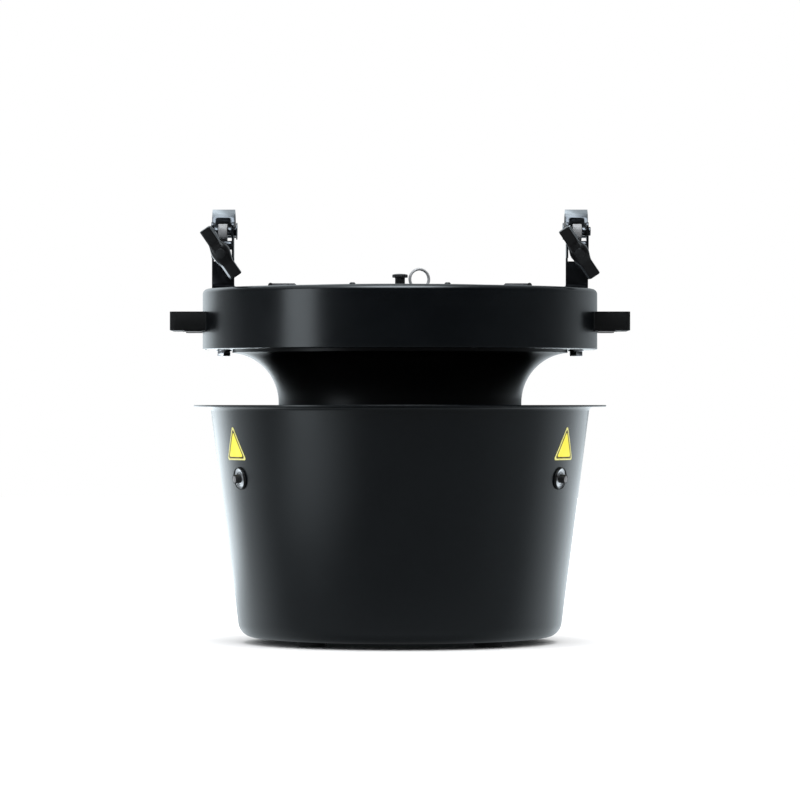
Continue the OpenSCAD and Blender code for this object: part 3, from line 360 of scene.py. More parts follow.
# Rubbed edges: where the finish is thin on outward edges, broken up by noise.
rubbed_edges, given, out = group(
    "rubbed_edges",
    [("Colour", "Color", (0, 0, 0, 1)), ("Bare", "Color", (0.1, 0.1, 0.1, 1)),
     ("Roughness", "Float", 0.4), ("Amount", "Float", 0.5)],
    [("Colour", "Color"), ("Roughness", "Float")])
outward = rubbed_edges.nodes.new("ShaderNodeNewGeometry").outputs["Pointiness"]
edge = ease(rubbed_edges, outward, 0.53, 0.62)
broken = ease(rubbed_edges, noise(rubbed_edges, 160.0, 5, 0.65), 0.42, 0.66)
mask = math_node(rubbed_edges, "MULTIPLY", edge, broken, given["Amount"])
wire(rubbed_edges, blend_colour(rubbed_edges, mask, given["Colour"], given["Bare"]), out["Colour"])
wire(rubbed_edges, math_node(rubbed_edges, "ADD", given["Roughness"],
                             math_node(rubbed_edges, "MULTIPLY", mask, 0.12)), out["Roughness"])


def new_material(name):
    """A node material, with its tree and its shader."""
    material = bpy.data.materials.new(name)
    material.use_nodes = True
    return material, material.node_tree, material.node_tree.nodes["Principled BSDF"]


def effect(tree, effect_group, **looks):
    """An effect group placed in a material with its own looks, by input name; its outputs."""
    node = tree.nodes.new("ShaderNodeGroup")
    node.node_tree = effect_group
    for label, value in looks.items():
        wire(tree, value, node.inputs[label])
    return node.outputs


def raise_surface(tree, shader, height, strength, depth_mm):
    """A Bump node that feeds the shader's Normal from a height."""
    node = tree.nodes.new("ShaderNodeBump")
    for label, value in (("Height", height), ("Strength", strength), ("Distance", depth_mm / 1000)):
        wire(tree, value, node.inputs[label])
    wire(tree, node.outputs[0], shader.inputs["Normal"])


def coated(name, dark, pale, smooth, rough, scale, bump=0.05, bump_mm=0.05, rubbed=0.0,
           bare=(0.12, 0.12, 0.125), specular=0.5):
    """A non-metal finish: grain gives its colour, roughness and bump, and edges may rub."""
    material, tree, shader = new_material(name)
    texture = effect(tree, grain, Scale=scale, Dark=(*dark, 1), Pale=(*pale, 1), Smooth=smooth,
                     Rough=rough)
    face = texture
    if rubbed:
        face = effect(tree, rubbed_edges, Colour=texture["Colour"], Roughness=texture["Roughness"],
                      Bare=(*bare, 1), Amount=rubbed)
    wire(tree, face["Colour"], shader.inputs["Base Color"])
    wire(tree, face["Roughness"], shader.inputs["Roughness"])
    raise_surface(tree, shader, texture["Height"], bump, bump_mm)
    wire(tree, specular, shader.inputs["Specular IOR Level"])
    return material


satin_black = coated("satin_black_paint", (0.0004, 0.0009, 0.0015), (0.0009, 0.0017, 0.0026),
                     0.21, 0.27, scale=700, bump=0.12, bump_mm=0.04)

shell_low, shell_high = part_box("drum_shell")
drum_r, drum_top = shell_high.x, shell_high.z
drum_t = 0.0025
drum_edge_r, lip_r = 0.007, 0.0007
throat_r, throat_edge = 0.1576, 0.0004
skirt_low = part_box("drum_floor")[0].z + 0.0002
edge_x, edge_z = drum_r - drum_edge_r, drum_top - drum_edge_r
drum_profile = np.concatenate([
    [[throat_r, drum_top - drum_t], [throat_r, drum_top - throat_edge], [throat_r + throat_edge, drum_top]],
    arc(edge_x, edge_z, drum_edge_r, 90, 0, 12),
    arc(drum_r - lip_r, skirt_low + lip_r, lip_r, 0, -90, 6),
    [[drum_r - drum_t, skirt_low]],
    arc(edge_x, edge_z, drum_edge_r - drum_t, 0, 90, 8)])
boss_r, boss_at, boss_top = 0.0065, 0.2515, 0.4245
boss_profile = [[0, shell_low.z], [boss_r, shell_low.z], [boss_r, boss_top], [0, boss_top]]
eighths = np.radians(22.5 + 45 * np.arange(8))
bosses = [placed(spun(boss_profile, 32, False), (boss_at * math.cos(a), boss_at * math.sin(a), 0))
          for a in eighths]
shown("drum_can", [spun(held(drum_profile), 256)] + bosses, "head", satin_black, ["drum_shell"])

# ---- Bucket ----
# The bucket is spun aluminium too: a straight taper from a rounded floor corner to a bend,
# and a flat rim with a rounded outer edge. The same satin black paint covers it.
bucket_low, bucket_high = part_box("bucket_shell")
bucket_t = 0.0025
base_r, top_r = 0.216, 0.256
corner_r, bend_r, rim_round = 0.021, 0.006, 0.00035
slope = (top_r - base_r) / (bucket_high.z - bucket_low.z)
tilt = math.degrees(math.atan(slope))
lean = math.cos(math.radians(tilt))


def wall_radius(z):
    """Outer radius of the bucket's straight taper at a height."""
    return base_r + slope * (z - bucket_low.z)


corner_z = bucket_low.z + corner_r
corner_x = wall_radius(corner_z) - corner_r / lean
bend_z = bucket_high.z - bucket_t - bend_r
bend_x = wall_radius(bend_z) + bend_r / lean
rim_r, rim_under = bucket_high.x, bucket_high.z - bucket_t
bucket_profile = np.concatenate([
    [[0, bucket_low.z]],
    arc(corner_x, corner_z, corner_r, -90, -tilt, 12),
    arc(bend_x, bend_z, bend_r, 180 - tilt, 90, 10),
    arc(rim_r - 2 * rim_round, rim_under + 2 * rim_round, 2 * rim_round, -90, 0, 4),
    arc(rim_r - rim_round, bucket_high.z - rim_round, rim_round, 0, 90, 4),
    arc(bend_x, bend_z, bend_r + bucket_t, 90, 180 - tilt, 10),
    arc(corner_x, corner_z, corner_r - bucket_t, -tilt, -90, 12),
    [[0, bucket_low.z + bucket_t]]])
shown("bucket_can", [spun(held(bucket_profile), 256, False)], "bucket", satin_black, ["bucket_shell"])

# ---- Flared neck ----
# The neck is a spun aluminium tube that flares out to a flange, which is screwed up under the drum. It is
# painted in a flatter black, and its shine is turned down further as painted shade, for the shade under the
# drum that the light hardly reaches.
shaded_flat_black = coated("flat_black_paint", (0.0006, 0.0006, 0.0007), (0.0014, 0.0014, 0.0016),
                    0.3, 0.38, scale=620, bump=0.15, bump_mm=0.05, specular=0.22)
neck_low, neck_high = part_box("flared_neck")
neck_r, neck_t, neck_edge = 0.1638, 0.003, 0.0008
flare_r, flare_z = 0.0675, 0.323
flare_x = neck_r + flare_r
flange_r = neck_high.x
flange_in_r = flange_r - 0.018
outer_stop = 180 - math.degrees(math.acos((flare_x - flange_r) / flare_r))
inner_stop = 180 - math.degrees(math.acos((flare_x - flange_in_r) / (flare_r + neck_t)))
neck_profile = np.concatenate([
    [[neck_r - neck_t, neck_low.z], [neck_r - neck_edge, neck_low.z], [neck_r, neck_low.z + neck_edge]],
    arc(flare_x, flare_z, flare_r, 180, outer_stop, 40),
    [[flange_r, neck_high.z], [flange_in_r, neck_high.z]],
    arc(flare_x, flare_z, flare_r + neck_t, inner_stop, 180, 32)])
shown("neck_tube", [spun(neck_profile, 224)], "head", shaded_flat_black, ["flared_neck"])

# ---- Plain parts ----
# Parts that show little keep their CAD shape and get a finish of their own: painted plate,
# black nylon, zinc-plated screws and shafts, cast and rolled aluminium, enamelled copper, a
# green board, and a glass fuse with brass ends.
dark_plate = coated("dark_plate", (0.0015, 0.0015, 0.0017), (0.003, 0.003, 0.0034), 0.45, 0.6,
                    scale=1100, bump=0.25, bump_mm=0.08)
black_nylon = coated("black_nylon", (0.004, 0.004, 0.0042), (0.0085, 0.0085, 0.009), 0.42, 0.55,
                     scale=1500, bump=0.22, bump_mm=0.06, rubbed=0.25, bare=(0.03, 0.03, 0.031))
green_board = coated("green_board", (0.01, 0.09, 0.035), (0.018, 0.14, 0.06), 0.35, 0.5, scale=400)

# Brushed: fine streaks along one direction, from noise on stretched coordinates, with cloudy
# patches between them.
brushed, given, out = group(
    "brushed",
    [("Stretch", "Vector", (1.0, 1.0, 1.0)), ("Dark", "Color", (0.4, 0.4, 0.4, 1)),
     ("Pale", "Color", (0.7, 0.7, 0.7, 1)), ("Smooth", "Float", 0.2), ("Rough", "Float", 0.35)],
    [("Colour", "Color"), ("Roughness", "Float"), ("Height", "Float")])
stretched = vector_node(brushed, "MULTIPLY", brushed.nodes.new("ShaderNodeTexCoord").outputs["Object"],
                        given["Stretch"])
streaks = noise(brushed, 260.0, 4, 0.7, stretched)
cloudy = ease(brushed, noise(brushed, 30.0, 3, 0.6), 0.3, 0.7)
tone = math_node(brushed, "ADD", math_node(brushed, "MULTIPLY", streaks, 0.6),
                 math_node(brushed, "MULTIPLY", cloudy, 0.4))
wire(brushed, blend_colour(brushed, tone, given["Dark"], given["Pale"]), out["Colour"])
wire(brushed, blend(brushed, tone, given["Smooth"], given["Rough"]), out["Roughness"])
wire(brushed, streaks, out["Height"])


def metal(name, dark, pale, smooth, rough, stretch=(1, 1, 1), bump=0.08, painted_highlight=None):
    """A bare or plated metal: streaks give its colour, roughness and bump. A painted highlight, as (low,
    high, colour), paints that pale colour between two heights, and wholly above the second, where the top
    of a bend catches the light from above."""
    material, tree, shader = new_material(name)
    texture = effect(tree, brushed, Stretch=stretch, Dark=(*dark, 1), Pale=(*pale, 1), Smooth=smooth,
                     Rough=rough)
    colour = texture["Colour"]
    if painted_highlight:
        # bare is the pale colour of the painted highlight, not worn metal.
        low, high, bare = painted_highlight
        height = split(tree, tree.nodes.new("ShaderNodeTexCoord").outputs["Object"])[2]
        colour = blend_colour(tree, ease(tree, height, low, high), colour, (*bare, 1))
    wire(tree, colour, shader.inputs["Base Color"])
    wire(tree, texture["Roughness"], shader.inputs["Roughness"])
    wire(tree, 1.0, shader.inputs["Metallic"])
    raise_surface(tree, shader, texture["Height"], bump, 0.03)
    return material


zinc = metal("zinc_plate", (0.5, 0.5, 0.52), (0.72, 0.72, 0.74), 0.2, 0.34)
cast_aluminium = metal("cast_aluminium", (0.32, 0.325, 0.34), (0.5, 0.505, 0.52), 0.38, 0.58)
rolled_aluminium = metal("rolled_aluminium", (0.34, 0.345, 0.36), (0.52, 0.525, 0.54), 0.3, 0.46,
                         (0.2, 0.2, 3), 0.2)
enamelled_copper = metal("enamelled_copper", (0.42, 0.14, 0.05), (0.78, 0.33, 0.14), 0.22, 0.4,
                         (1, 1, 8), 0.4)
brass_ends = metal("glass_fuse_brass", (0.55, 0.5, 0.42), (0.75, 0.7, 0.6), 0.2, 0.3)

finishes = {
    satin_black: ["drum_floor"],
    dark_plate: ["handle_plates", "hanger_arms", "rest_brackets", "motor_spider"],
    black_nylon: ["fuse_holder", "impeller"],
    zinc: ["floor_screws", "plate_screws", "spider_screws", "handle_screws", "arm_screws", "clamp_nuts",
           "clamp_spacers", "clamp_nose_left", "clamp_nose_right", "eye_nut",
           "fan_shaft", "motor_bearings", "foot_screws", "lock_nuts"],
    cast_aluminium: ["motor_stator", "rotor_can"],
    rolled_aluminium: ["fan_duct", "control_case"],
    enamelled_copper: ["motor_winding"],
    green_board: ["control_board"],
    brass_ends: ["fuse_link"],
}
for material, names in finishes.items():
    for name in names:
        nodes[name].material_slots[0].material = material

# ---- Eased parts ----
# Handles, connectors and flaps are moulded in plastic. Hooks, jaws, pins and bolts are cut,
# folded or turned in plated steel. All keep their CAD shape, but their edges are broken as a
# file, a press or a mould leaves them.
handle_nylon = coated("handle_nylon", (0.001, 0.001, 0.0011), (0.0024, 0.0024, 0.0026), 0.55, 0.7,
                      scale=1500, bump=0.2, bump_mm=0.06, rubbed=0.2, bare=(0.01, 0.01, 0.011),
                      specular=0.22)
slate_plastic = coated("slate_plastic", (0.062, 0.066, 0.073), (0.088, 0.093, 0.102), 0.42, 0.55,
                       scale=1300, bump=0.2, bump_mm=0.05, rubbed=0.2, bare=(0.2, 0.2, 0.21))
blasted_zinc = coated("blasted_zinc", (0.12, 0.125, 0.13), (0.22, 0.225, 0.235), 0.45, 0.6,
                      scale=1400, bump=0.3, bump_mm=0.05)
black_zinc = metal("black_zinc", (0.07, 0.073, 0.08), (0.105, 0.11, 0.12), 0.26, 0.33,
                   (0.3, 1.2, 1.2), 0.03)
# The hooks are black like the pins; the top of their bend is painted pale zinc as a painted highlight of
# the light from above.
hook_zinc_painted_highlight = metal("hook_zinc_painted_highlight", (0.05, 0.052, 0.058), (0.075, 0.079, 0.086), 0.26, 0.33,
                  (0.3, 1.2, 1.2), 0.03, painted_highlight=(0.572, 0.5795, (0.44, 0.46, 0.485)))


def eased(node, body, material, width_mm, segments=2):
    """A copy of a CAD node, merged, with flat triangles joined, and its edges bevelled."""
    mesh = nodes[node].data.copy()
    work = bmesh.new()
    work.from_mesh(mesh)
    bmesh.ops.remove_doubles(work, verts=work.verts, dist=2e-6)
    bmesh.ops.dissolve_limit(work, angle_limit=math.radians(0.5), verts=work.verts, edges=work.edges)
    work.to_mesh(mesh)
    work.free()
    mesh.materials.clear()
    mesh.materials.append(material)
    mesh.shade_smooth()
    piece = bpy.data.objects.new(node + "_eased", mesh)
    bevel = piece.modifiers.new("eased_edges", "BEVEL")
    bevel.limit_method = "ANGLE"
    bevel.angle_limit = math.radians(40)
    bevel.width = width_mm / 1000
    bevel.segments = segments
    bevel.harden_normals = True
    fitted(piece, body, [node])


for side in ("left", "right"):
    eased("handle_" + side, "head", handle_nylon, 1.6, 3)
    eased("clamp_hook_" + side, "head", hook_zinc_painted_highlight, 0.5)
    eased("jaw_" + side, "jaw_" + side, blasted_zinc, 0.6)
for kind in ("power", "data"):
    eased(kind + "_socket", "head", black_nylon, 0.6)
    eased(kind + "_flap", kind + "_flap", slate_plastic, 0.9, 3)
eased("clamp_bolts", "head", zinc, 0.5)
eased("clamp_washers", "head", zinc, 0.3)
eased("jaw_pins", "head", black_zinc, 0.4)
eased("barrel_nuts", "head", black_zinc, 0.3)

# ---- Feet ----
# Four round rubber feet, 38 mm across, carry the bucket. They are moulded with a rounded
# tread edge, and a screw through each holds it to the bucket's floor.
matt_rubber = coated("matt_rubber", (0.006, 0.006, 0.006), (0.014, 0.014, 0.014), 0.7, 0.88,
                     scale=500, bump=0.4, bump_mm=0.15, rubbed=0.3, bare=(0.04, 0.04, 0.04))
foot_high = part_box("feet")[1]
foot_r, tread_r, tread_in, top_round = 0.019, 0.0016, 0.0003, 0.0006
foot_at = foot_high.x - foot_r
foot_profile = np.concatenate([
    [[0, 0.0]], arc(foot_r - tread_in - tread_r, tread_r, tread_r, -90, 0, 5),
    arc(foot_r - top_round, foot_high.z - top_round, top_round, 0, 90, 3), [[0, foot_high.z]]])
feet = [placed(spun(foot_profile, 64, False), (sx * foot_at, sy * foot_at, 0))
        for sx in (-1, 1) for sy in (-1, 1)]
shown("rubber_feet", feet, "bucket", matt_rubber, ["feet"])

# ---- Intake grille ----
# A wire guard over the intake: round steel wires in rings on eight spokes, welded to a disc
# in the middle and to a flat band that takes the screws. It is powder coated black.
powder_black = coated("powder_black", (0.0035, 0.0035, 0.0038), (0.0075, 0.0075, 0.0082), 0.36, 0.48,
                      scale=1100, bump=0.3, bump_mm=0.08, rubbed=0.4)
guard_low, guard_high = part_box("intake_grille")
guard_r = guard_high.x
wire_r = 0.0014
band_w, band_under, band_edge = 0.011, 0.0006, 0.0008
disc_r, disc_under, disc_edge = 0.03, 0.0006, 0.0009


def wire_ring(radius, z, r=wire_r, steps=144, sides=10):
    """A torus: the point at tube angle b on the ring at angle a lies r from the wire's middle."""
    b = np.linspace(0, 2 * np.pi, sides, endpoint=False)
    return spun(np.stack([radius + r * np.cos(b), z + r * np.sin(b)], -1), steps)


def rod(start, end, r):
    """A round rod of radius r from start to end, with its ends rounded over 0.3 of r."""
    start, end = np.array(start, float), np.array(end, float)
    length = np.linalg.norm(end - start)
    z = (end - start) / length
    x = np.cross(z, [0, 0, 1] if abs(z[2]) < 0.9 else [1, 0, 0])
    x /= np.linalg.norm(x)
    soft = 0.3 * r
    profile = np.concatenate([[[0, 0]], arc(r - soft, soft, soft, -90, 0, 3),
                              arc(r - soft, length - soft, soft, 0, 90, 3), [[0, length]]])
    return placed(spun(profile, 12, False), start, x, np.cross(z, x), z)


band_r = guard_r - band_w
band_profile = [[band_r, guard_low.z + band_under], [band_r + band_under, guard_low.z],
                [guard_r - band_under, guard_low.z], [guard_r, guard_low.z + band_under],
                [guard_r, guard_high.z - band_edge], [guard_r - band_edge, guard_high.z],
                [band_r + band_edge, guard_high.z], [band_r, guard_high.z - band_edge]]
disc_profile = np.concatenate([[[0, guard_low.z], [disc_r - disc_under, guard_low.z]],
                               arc(disc_r - disc_edge, guard_high.z - disc_edge, disc_edge, 0, 90, 4),
                               [[0, guard_high.z]]])
ring_radii = np.linspace(disc_r + 0.0155, band_r - 0.006, 12)
guard = [spun(band_profile, 192), spun(disc_profile, 96, False)]
guard += [wire_ring(r, guard_high.z - wire_r) for r in ring_radii]
# The spokes lie under the rings and run into the disc and the band.
spoke_from, spoke_to = disc_r - 0.004, band_r + 0.003
spoke_z = np.array([0, 0, guard_low.z + wire_r])
for a in eighths:
    along = np.array([math.cos(a), math.sin(a), 0])
    guard.append(rod(along * spoke_from + spoke_z, along * spoke_to + spoke_z, wire_r))
shown("wire_guard", guard, "head", powder_black, ["intake_grille"])


# ---- Top screws ----
# Black pan-head screws with a cross recess, in coated steel. Eight hold the wire guard's band
# to the drum, and four hold each connector's frame.
def cross_head(d, rise):
    """A pan head of diameter d: a shallow dome z = rise (1 - 0.45 (r / R) ^ 3), cut by a cross
    whose arms are 0.17 R wide and reach to 0.62 R, and closed below."""
    radius = d / 2
    r = np.linspace(0, 1, 14)[:, None] ** 0.8
    t = np.linspace(0, 2 * np.pi, 32, endpoint=False)[None, :]
    x, y = r * np.cos(t), r * np.sin(t)
    arm = np.minimum(np.abs(x), np.abs(y))
    reach = np.maximum(np.abs(x), np.abs(y))
    cut = np.clip((0.17 - arm) / 0.06, 0, 1) * np.clip((0.62 - reach) / 0.12, 0, 1)
    z = rise * (1 - 0.45 * r ** 3) * np.ones_like(t) - cut * 0.5 * rise
    top = np.stack([x * radius, y * radius, z], -1)
    skirt = top[-1:] * [1.04, 1.04, 0]
    return grid(np.concatenate([top, skirt, top[:1] * 0]))


guard_screws_r = 0.1636
head_d, head_rise, head_gap = 0.0076, 0.0024, 0.00005
shank_r, shank_length = 0.002, 0.0075
frame_in, frame_half_x, frame_half_y, frame_t = 0.020, 0.013, 0.017, 0.0025
screw_places = [(guard_screws_r * math.cos(a), guard_screws_r * math.sin(a), guard_high.z + head_gap)
                for a in eighths]
for kind in ("power", "data"):
    low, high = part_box(kind + "_socket")
    frame_x = low.x + frame_in if low.x + high.x > 0 else high.x - frame_in
    frame_y = (low.y + high.y) / 2
    screw_places += [(frame_x + sx * frame_half_x, frame_y + sy * frame_half_y, drum_top + frame_t)
                     for sx in (-1, 1) for sy in (-1, 1)]
# Each screw is turned a radian further than the one before, as hand-driven screws come to rest.
screws = [placed(cross_head(head_d, head_rise), p, (math.cos(k), math.sin(k), 0),
                 (-math.sin(k), math.cos(k), 0)) for k, p in enumerate(screw_places)]
screws += [rod((x, y, z - shank_length), (x, y, z), shank_r) for x, y, z in screw_places]
shown("cross_screws", screws, "head", powder_black, ["top_screws"], sharp=50)

# ---- Clamp screws ----
# Each clamp is tightened by an M10 screw in zinc-plated steel, with a rolled thread of 1.5 mm
# pitch. It runs in a barrel nut, and a turned pilot at its end carries the nose.
screw_tilt = math.radians(10.2)
screw_axis = np.array([0, math.cos(screw_tilt), math.sin(screw_tilt)])
screw_down = np.array([0, math.sin(screw_tilt), -math.cos(screw_tilt)])
screw_r, pilot_r, pilot_reach = 0.005, 0.003, 0.0084
pitch, thread_depth = 0.0015, 0.00075
clamp_x, nut_y, nut_z = 0.2376, -0.0415, 0.534
knob_reach = 0.066
thread_from, thread_length = knob_reach - 0.002, knob_reach + 0.0043


def thread(length, radius):
    """A screw thread: r = radius - depth |2 f - 1|, where f is the fraction of z / pitch - a / 2 pi,
    with both ends chamfered and closed on the axis."""
    z = np.arange(0, length, pitch / 6)[:, None]
    a = np.linspace(0, 2 * np.pi, 24, endpoint=False)[None, :]
    f = np.mod(z / pitch - a / (2 * np.pi), 1.0)
    r = radius - thread_depth * np.abs(2 * f - 1)
    r = np.minimum(r, radius - thread_depth + np.minimum(z, length - z) * 0.9)
    points = np.stack([r * np.cos(a), r * np.sin(a), z * np.ones_like(a)], -1)
    return grid(np.concatenate([points[:1] * [0, 0, 1], points, points[-1:] * [0, 0, 1]]))


nuts = {side: np.array([x, nut_y, nut_z]) for side, x in (("left", -clamp_x), ("right", clamp_x))}
for side, nut in nuts.items():
    threaded = placed(thread(thread_length, screw_r), nut - screw_axis * thread_from,
                      (1, 0, 0), screw_down, screw_axis)
    pilot = rod(nut, nut + screw_axis * pilot_reach, pilot_r)
    shown("clamp_thread_" + side, [threaded, pilot], "knob_" + side, zinc, ["clamp_screw_" + side],
          sharp=60)

# ---- Wing knobs ----
# Each clamp screw is turned by a knob moulded in black nylon round its end: two square-ended
# wings that swell into a domed hub. Polished wedges show along two edges, and a dark plug
# closes the hub over the screw.
knob_nylon = coated("knob_nylon", (0.0016, 0.0016, 0.0019), (0.0036, 0.0036, 0.0042), 0.24, 0.36,
                    scale=1600, bump=0.18, bump_mm=0.04, rubbed=0.35, bare=(0.05, 0.05, 0.052))
plug_slate = coated("plug_slate", (0.003, 0.0034, 0.004), (0.007, 0.0078, 0.009), 0.35, 0.48, scale=1300)
polished_edge = metal("polished_edge", (0.6, 0.62, 0.65), (0.82, 0.84, 0.87), 0.16, 0.28)
wing_w, wing_t, wing_span = 0.0155, 0.011, 0.0755
wing_front, wing_soft = 0.006, 0.0009
hub_w, hub_front, hub_back, hub_reach = 0.0255, 0.0113, 0.006, 0.0185
knob_turn = math.radians(56)


def hub_bump(x):
    """One at the hub's middle, falling smoothly to nothing at the hub's reach along the wings."""
    near = np.clip(1 - np.abs(x) / hub_reach, 0, 1)
    return near ** 2 * (3 - 2 * near)


def wing_half(x):
    """Half the knob's width at a distance x along it."""
    return wing_w / 2 + (hub_w - wing_w) / 2 * hub_bump(x)


def wing_knob():
    """A loft along x. At each x the section is a superellipse of half width w and half depth h
    about a middle m, all three blended from the wing to the hub by the hub's bump."""
    count, sides = 56, 40
    half, soft = wing_span / 2, wing_soft
    x = np.concatenate([[-half, -half, -half + soft * 0.3, -half + soft],
                        np.linspace(-half + 0.002, half - 0.002, count),
                        [half - soft, half - soft * 0.3, half, half]])
    lead = [0, 1 - soft / (wing_w / 2), 1 - 0.35 * soft / (wing_w / 2), 1]
    shrink = np.concatenate([lead, np.ones(count), lead[::-1]])
    bump = hub_bump(x)
    front = -wing_front - (hub_front - wing_front) * bump
    back = wing_t - wing_front + hub_back * bump
    power = 2 / (6.5 - 4.0 * bump)[:, None]
    a = np.linspace(0, 2 * np.pi, sides, endpoint=False)[None, :]
    c, s = np.cos(a), np.sin(a)
    across = np.sign(c) * np.abs(c) ** power * (wing_half(x) * shrink)[:, None]
    depth = np.sign(s) * np.abs(s) ** power * ((back - front) / 2 * shrink)[:, None]
    depth = ((front + back) / 2)[:, None] + depth
    return grid(np.stack([x[:, None] * np.ones_like(a), across, depth], -1))


def edge_wedge(start, end, section):
    """A bar that follows one edge of the knob: its section (beyond the edge, depth) grows from
    its first corner at the start and closes at the end."""
    corners = np.array(section, float)
    x = np.concatenate([[start], np.linspace(start, end - 0.0004, 24), [end, end]])
    size = np.clip((x - start) / 0.006, 0.08, 1)
    size[0], size[-1] = 0, 0
    inner = corners[0]
    across = wing_half(x)[:, None] + inner[0] + size[:, None] * (corners[:, 0] - inner[0])
    depth = inner[1] + size[:, None] * (corners[:, 1] - inner[1])
    return grid(np.stack([x[:, None] * np.ones((1, len(corners))), across, depth], -1))


wedge_section = [(-0.0006, -0.0057), (0.0021, -0.0026), (0.0021, 0.0008), (-0.0006, 0.003)]
wedge_starts, wedge_end = ((1, 0.0035), (-1, 0.013)), 0.0369
plug_profile = np.concatenate([[[0, -0.0105], [0.0066, -0.0105]],
                               arc(0, 0.0075, 0.02, -71.5, -90, 6)])
along = np.array([1, 0, 0]) * math.cos(knob_turn) + screw_down * math.sin(knob_turn)
across = np.cross(screw_axis, along)
for side, nut in nuts.items():
    centre = nut - screw_axis * knob_reach
    knob = placed(wing_knob(), centre, along, across, screw_axis)
    shown("wing_knob_" + side, [knob], "knob_" + side, knob_nylon, ["clamp_knob_" + side],
          sharp=40)
    wedges = [placed(edge_wedge(start, wedge_end, wedge_section), centre, along * way, across * way,
                     screw_axis) for way, start in wedge_starts]
    shown("knob_bevel_" + side, wedges, "knob_" + side, polished_edge, ())
    plug = placed(spun(plug_profile, 48, False), centre, along, across, screw_axis)
    shown("knob_plug_" + side, [plug], "knob_" + side, plug_slate, ())

# ---- Fuse cap ----
# The fuse is held by a bayonet cap moulded in black nylon: a ribbed barrel under a wider,
# gently domed head that a finger and thumb can grip.
cap_low, cap_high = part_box("fuse_cap")
cap_barrel_r, cap_head_r, cap_head_h = 0.007, 0.0107, 0.0056


def ribbed_cap(barrel_r, head_r, height, head_h):
    """Turned barrel and head; r gains 0.22 mm cos(24 t) on the barrel and 0.14 mm on the head."""
    t = np.linspace(0, 2 * np.pi, 192, endpoint=False)[None, :]
    shoulder = height - head_h
    profile = np.concatenate([
        [[0, 0], [barrel_r - 0.0009, 0], [barrel_r - 0.0003, 0.0006], [barrel_r - 0.0003, shoulder],
         [head_r - 0.0012, shoulder]],
        arc(head_r - 0.0008, shoulder + 0.0008, 0.0008, -60, 0, 3),
        arc(head_r - 0.0014, height - 0.0023, 0.0014, 0, 70, 5),
        [[head_r * 0.6, height - 0.00035], [head_r * 0.3, height - 0.0001], [0, height]]])
    r, z = profile.T
    on_barrel = (z > 0.0004) & (z <= shoulder) & (r > 0.5 * barrel_r) & (r < barrel_r)
    on_head = r > head_r - 0.0006
    ribs = on_barrel * 0.00022 + on_head * 0.00014
    r = r[:, None] + ribs[:, None] * np.cos(24 * t)
    return grid(np.stack([r * np.cos(t), r * np.sin(t), z[:, None] * np.ones_like(t)], -1))


cap_shell = placed(ribbed_cap(cap_barrel_r, cap_head_r, cap_high.z - cap_low.z, cap_head_h),
                   ((cap_low.x + cap_high.x) / 2, (cap_low.y + cap_high.y) / 2, cap_low.z))
shown("ribbed_fuse_cap", [cap_shell], "fuse_cap", black_nylon, ["fuse_cap"])

# ---- Safety eye ----
# A forged steel eye for the safety cable, dull zinc-plated. Its M10 stud goes through the
# drum's top up to a round collar, and a nut inside holds it.
eye_zinc = coated("matt_zinc", (0.15, 0.155, 0.16), (0.25, 0.255, 0.265), 0.32, 0.45, scale=1200, bump=0.2)
eye_low, eye_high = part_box("safety_eye")
eye_turn = math.radians(18)
# The ring's section is eye_depth times as deep as it is wide.
eye_wire_r, eye_ring_r, eye_depth = 0.0019, 0.0158, 1.7
stud_r, collar_r = 0.005, 0.0058
eye_centre = np.array([0.027, 0.205, eye_high.z - eye_ring_r])
eye_along = np.array([math.cos(eye_turn), math.sin(eye_turn), 0])
eye_ring = placed(wire_ring(eye_ring_r - eye_wire_r, 0, eye_wire_r, 96, 24), eye_centre,
                  eye_along, (0, 0, 1), np.cross(eye_along, [0, 0, 1]) * eye_depth)
stud_profile = np.concatenate([
    [[0, eye_low.z], [stud_r - 0.0006, eye_low.z], [stud_r, eye_low.z + 0.0006],
     [stud_r, drum_top + 0.0001], [collar_r, drum_top + 0.0001]],
    arc(collar_r - 0.0004, drum_top + 0.0036, 0.0006, 0, 90, 3),
    [[0.0034, drum_top + 0.0045], [0.0022, drum_top + 0.0062], [0, drum_top + 0.0064]]])
eye_stud = placed(spun(stud_profile, 48, False), (eye_centre[0], eye_centre[1], 0))
shown("lifting_eye", [eye_ring, eye_stud], "head", eye_zinc, ["safety_eye"])

# ---- Bucket locks ----
# Three push-button locks in the bucket's wall: a black nylon ring, a polished dish, and a
# black button with a pale face that is pressed to lock and stands out when released.
bright_chrome = metal("bright_chrome", (0.72, 0.72, 0.74), (0.84, 0.84, 0.85), 0.22, 0.32)
button_face = coated("button_face", (0.1, 0.1, 0.104), (0.15, 0.15, 0.155), 0.3, 0.42, scale=1200)
lock_z = 0.223
lock_turns = {"left": -150, "right": -30, "back": 90}
ring_r, dish_r, button_r = 0.015, 0.0134, 0.00575
face_r, hole_r, body_r = button_r - 0.0012, button_r + 0.0002, 0.01
button_out, seat = 0.0095, 0.0001
ring_profile = np.concatenate([[[dish_r + 0.0001, seat], [ring_r, seat], [ring_r, 0.0006]],
                               arc(ring_r - 0.0007, 0.0022, 0.0006, 0, 90, 5),
                               arc(dish_r + 0.0004, 0.0024, 0.0004, 90, 180, 4)])
dish_profile = np.concatenate([[[hole_r, -0.01], [body_r, -0.01], [body_r, seat],
                                [dish_r, seat], [dish_r, 0.0012]],
                               arc(0.0101, 0.0068, 0.0066, -62, -118, 10),
                               [[hole_r, 0.0012]]])
barrel_profile = np.concatenate([[[0, -0.0106], [button_r, -0.0106]],
                                 arc(button_r - 0.0006, button_out - 0.0006, 0.0006, 0, 90, 4),
                                 [[button_r - 0.0009, button_out], [button_r - 0.0011, button_out - 0.0003],
                                  [0, button_out - 0.0003]]])
face_profile = [[0, button_out - 0.0004], [face_r, button_out - 0.0004], [face_r, button_out - 0.0001],
                [face_r - 0.0004, button_out], [0, button_out + 0.00005]]
rings, dishes = [], []
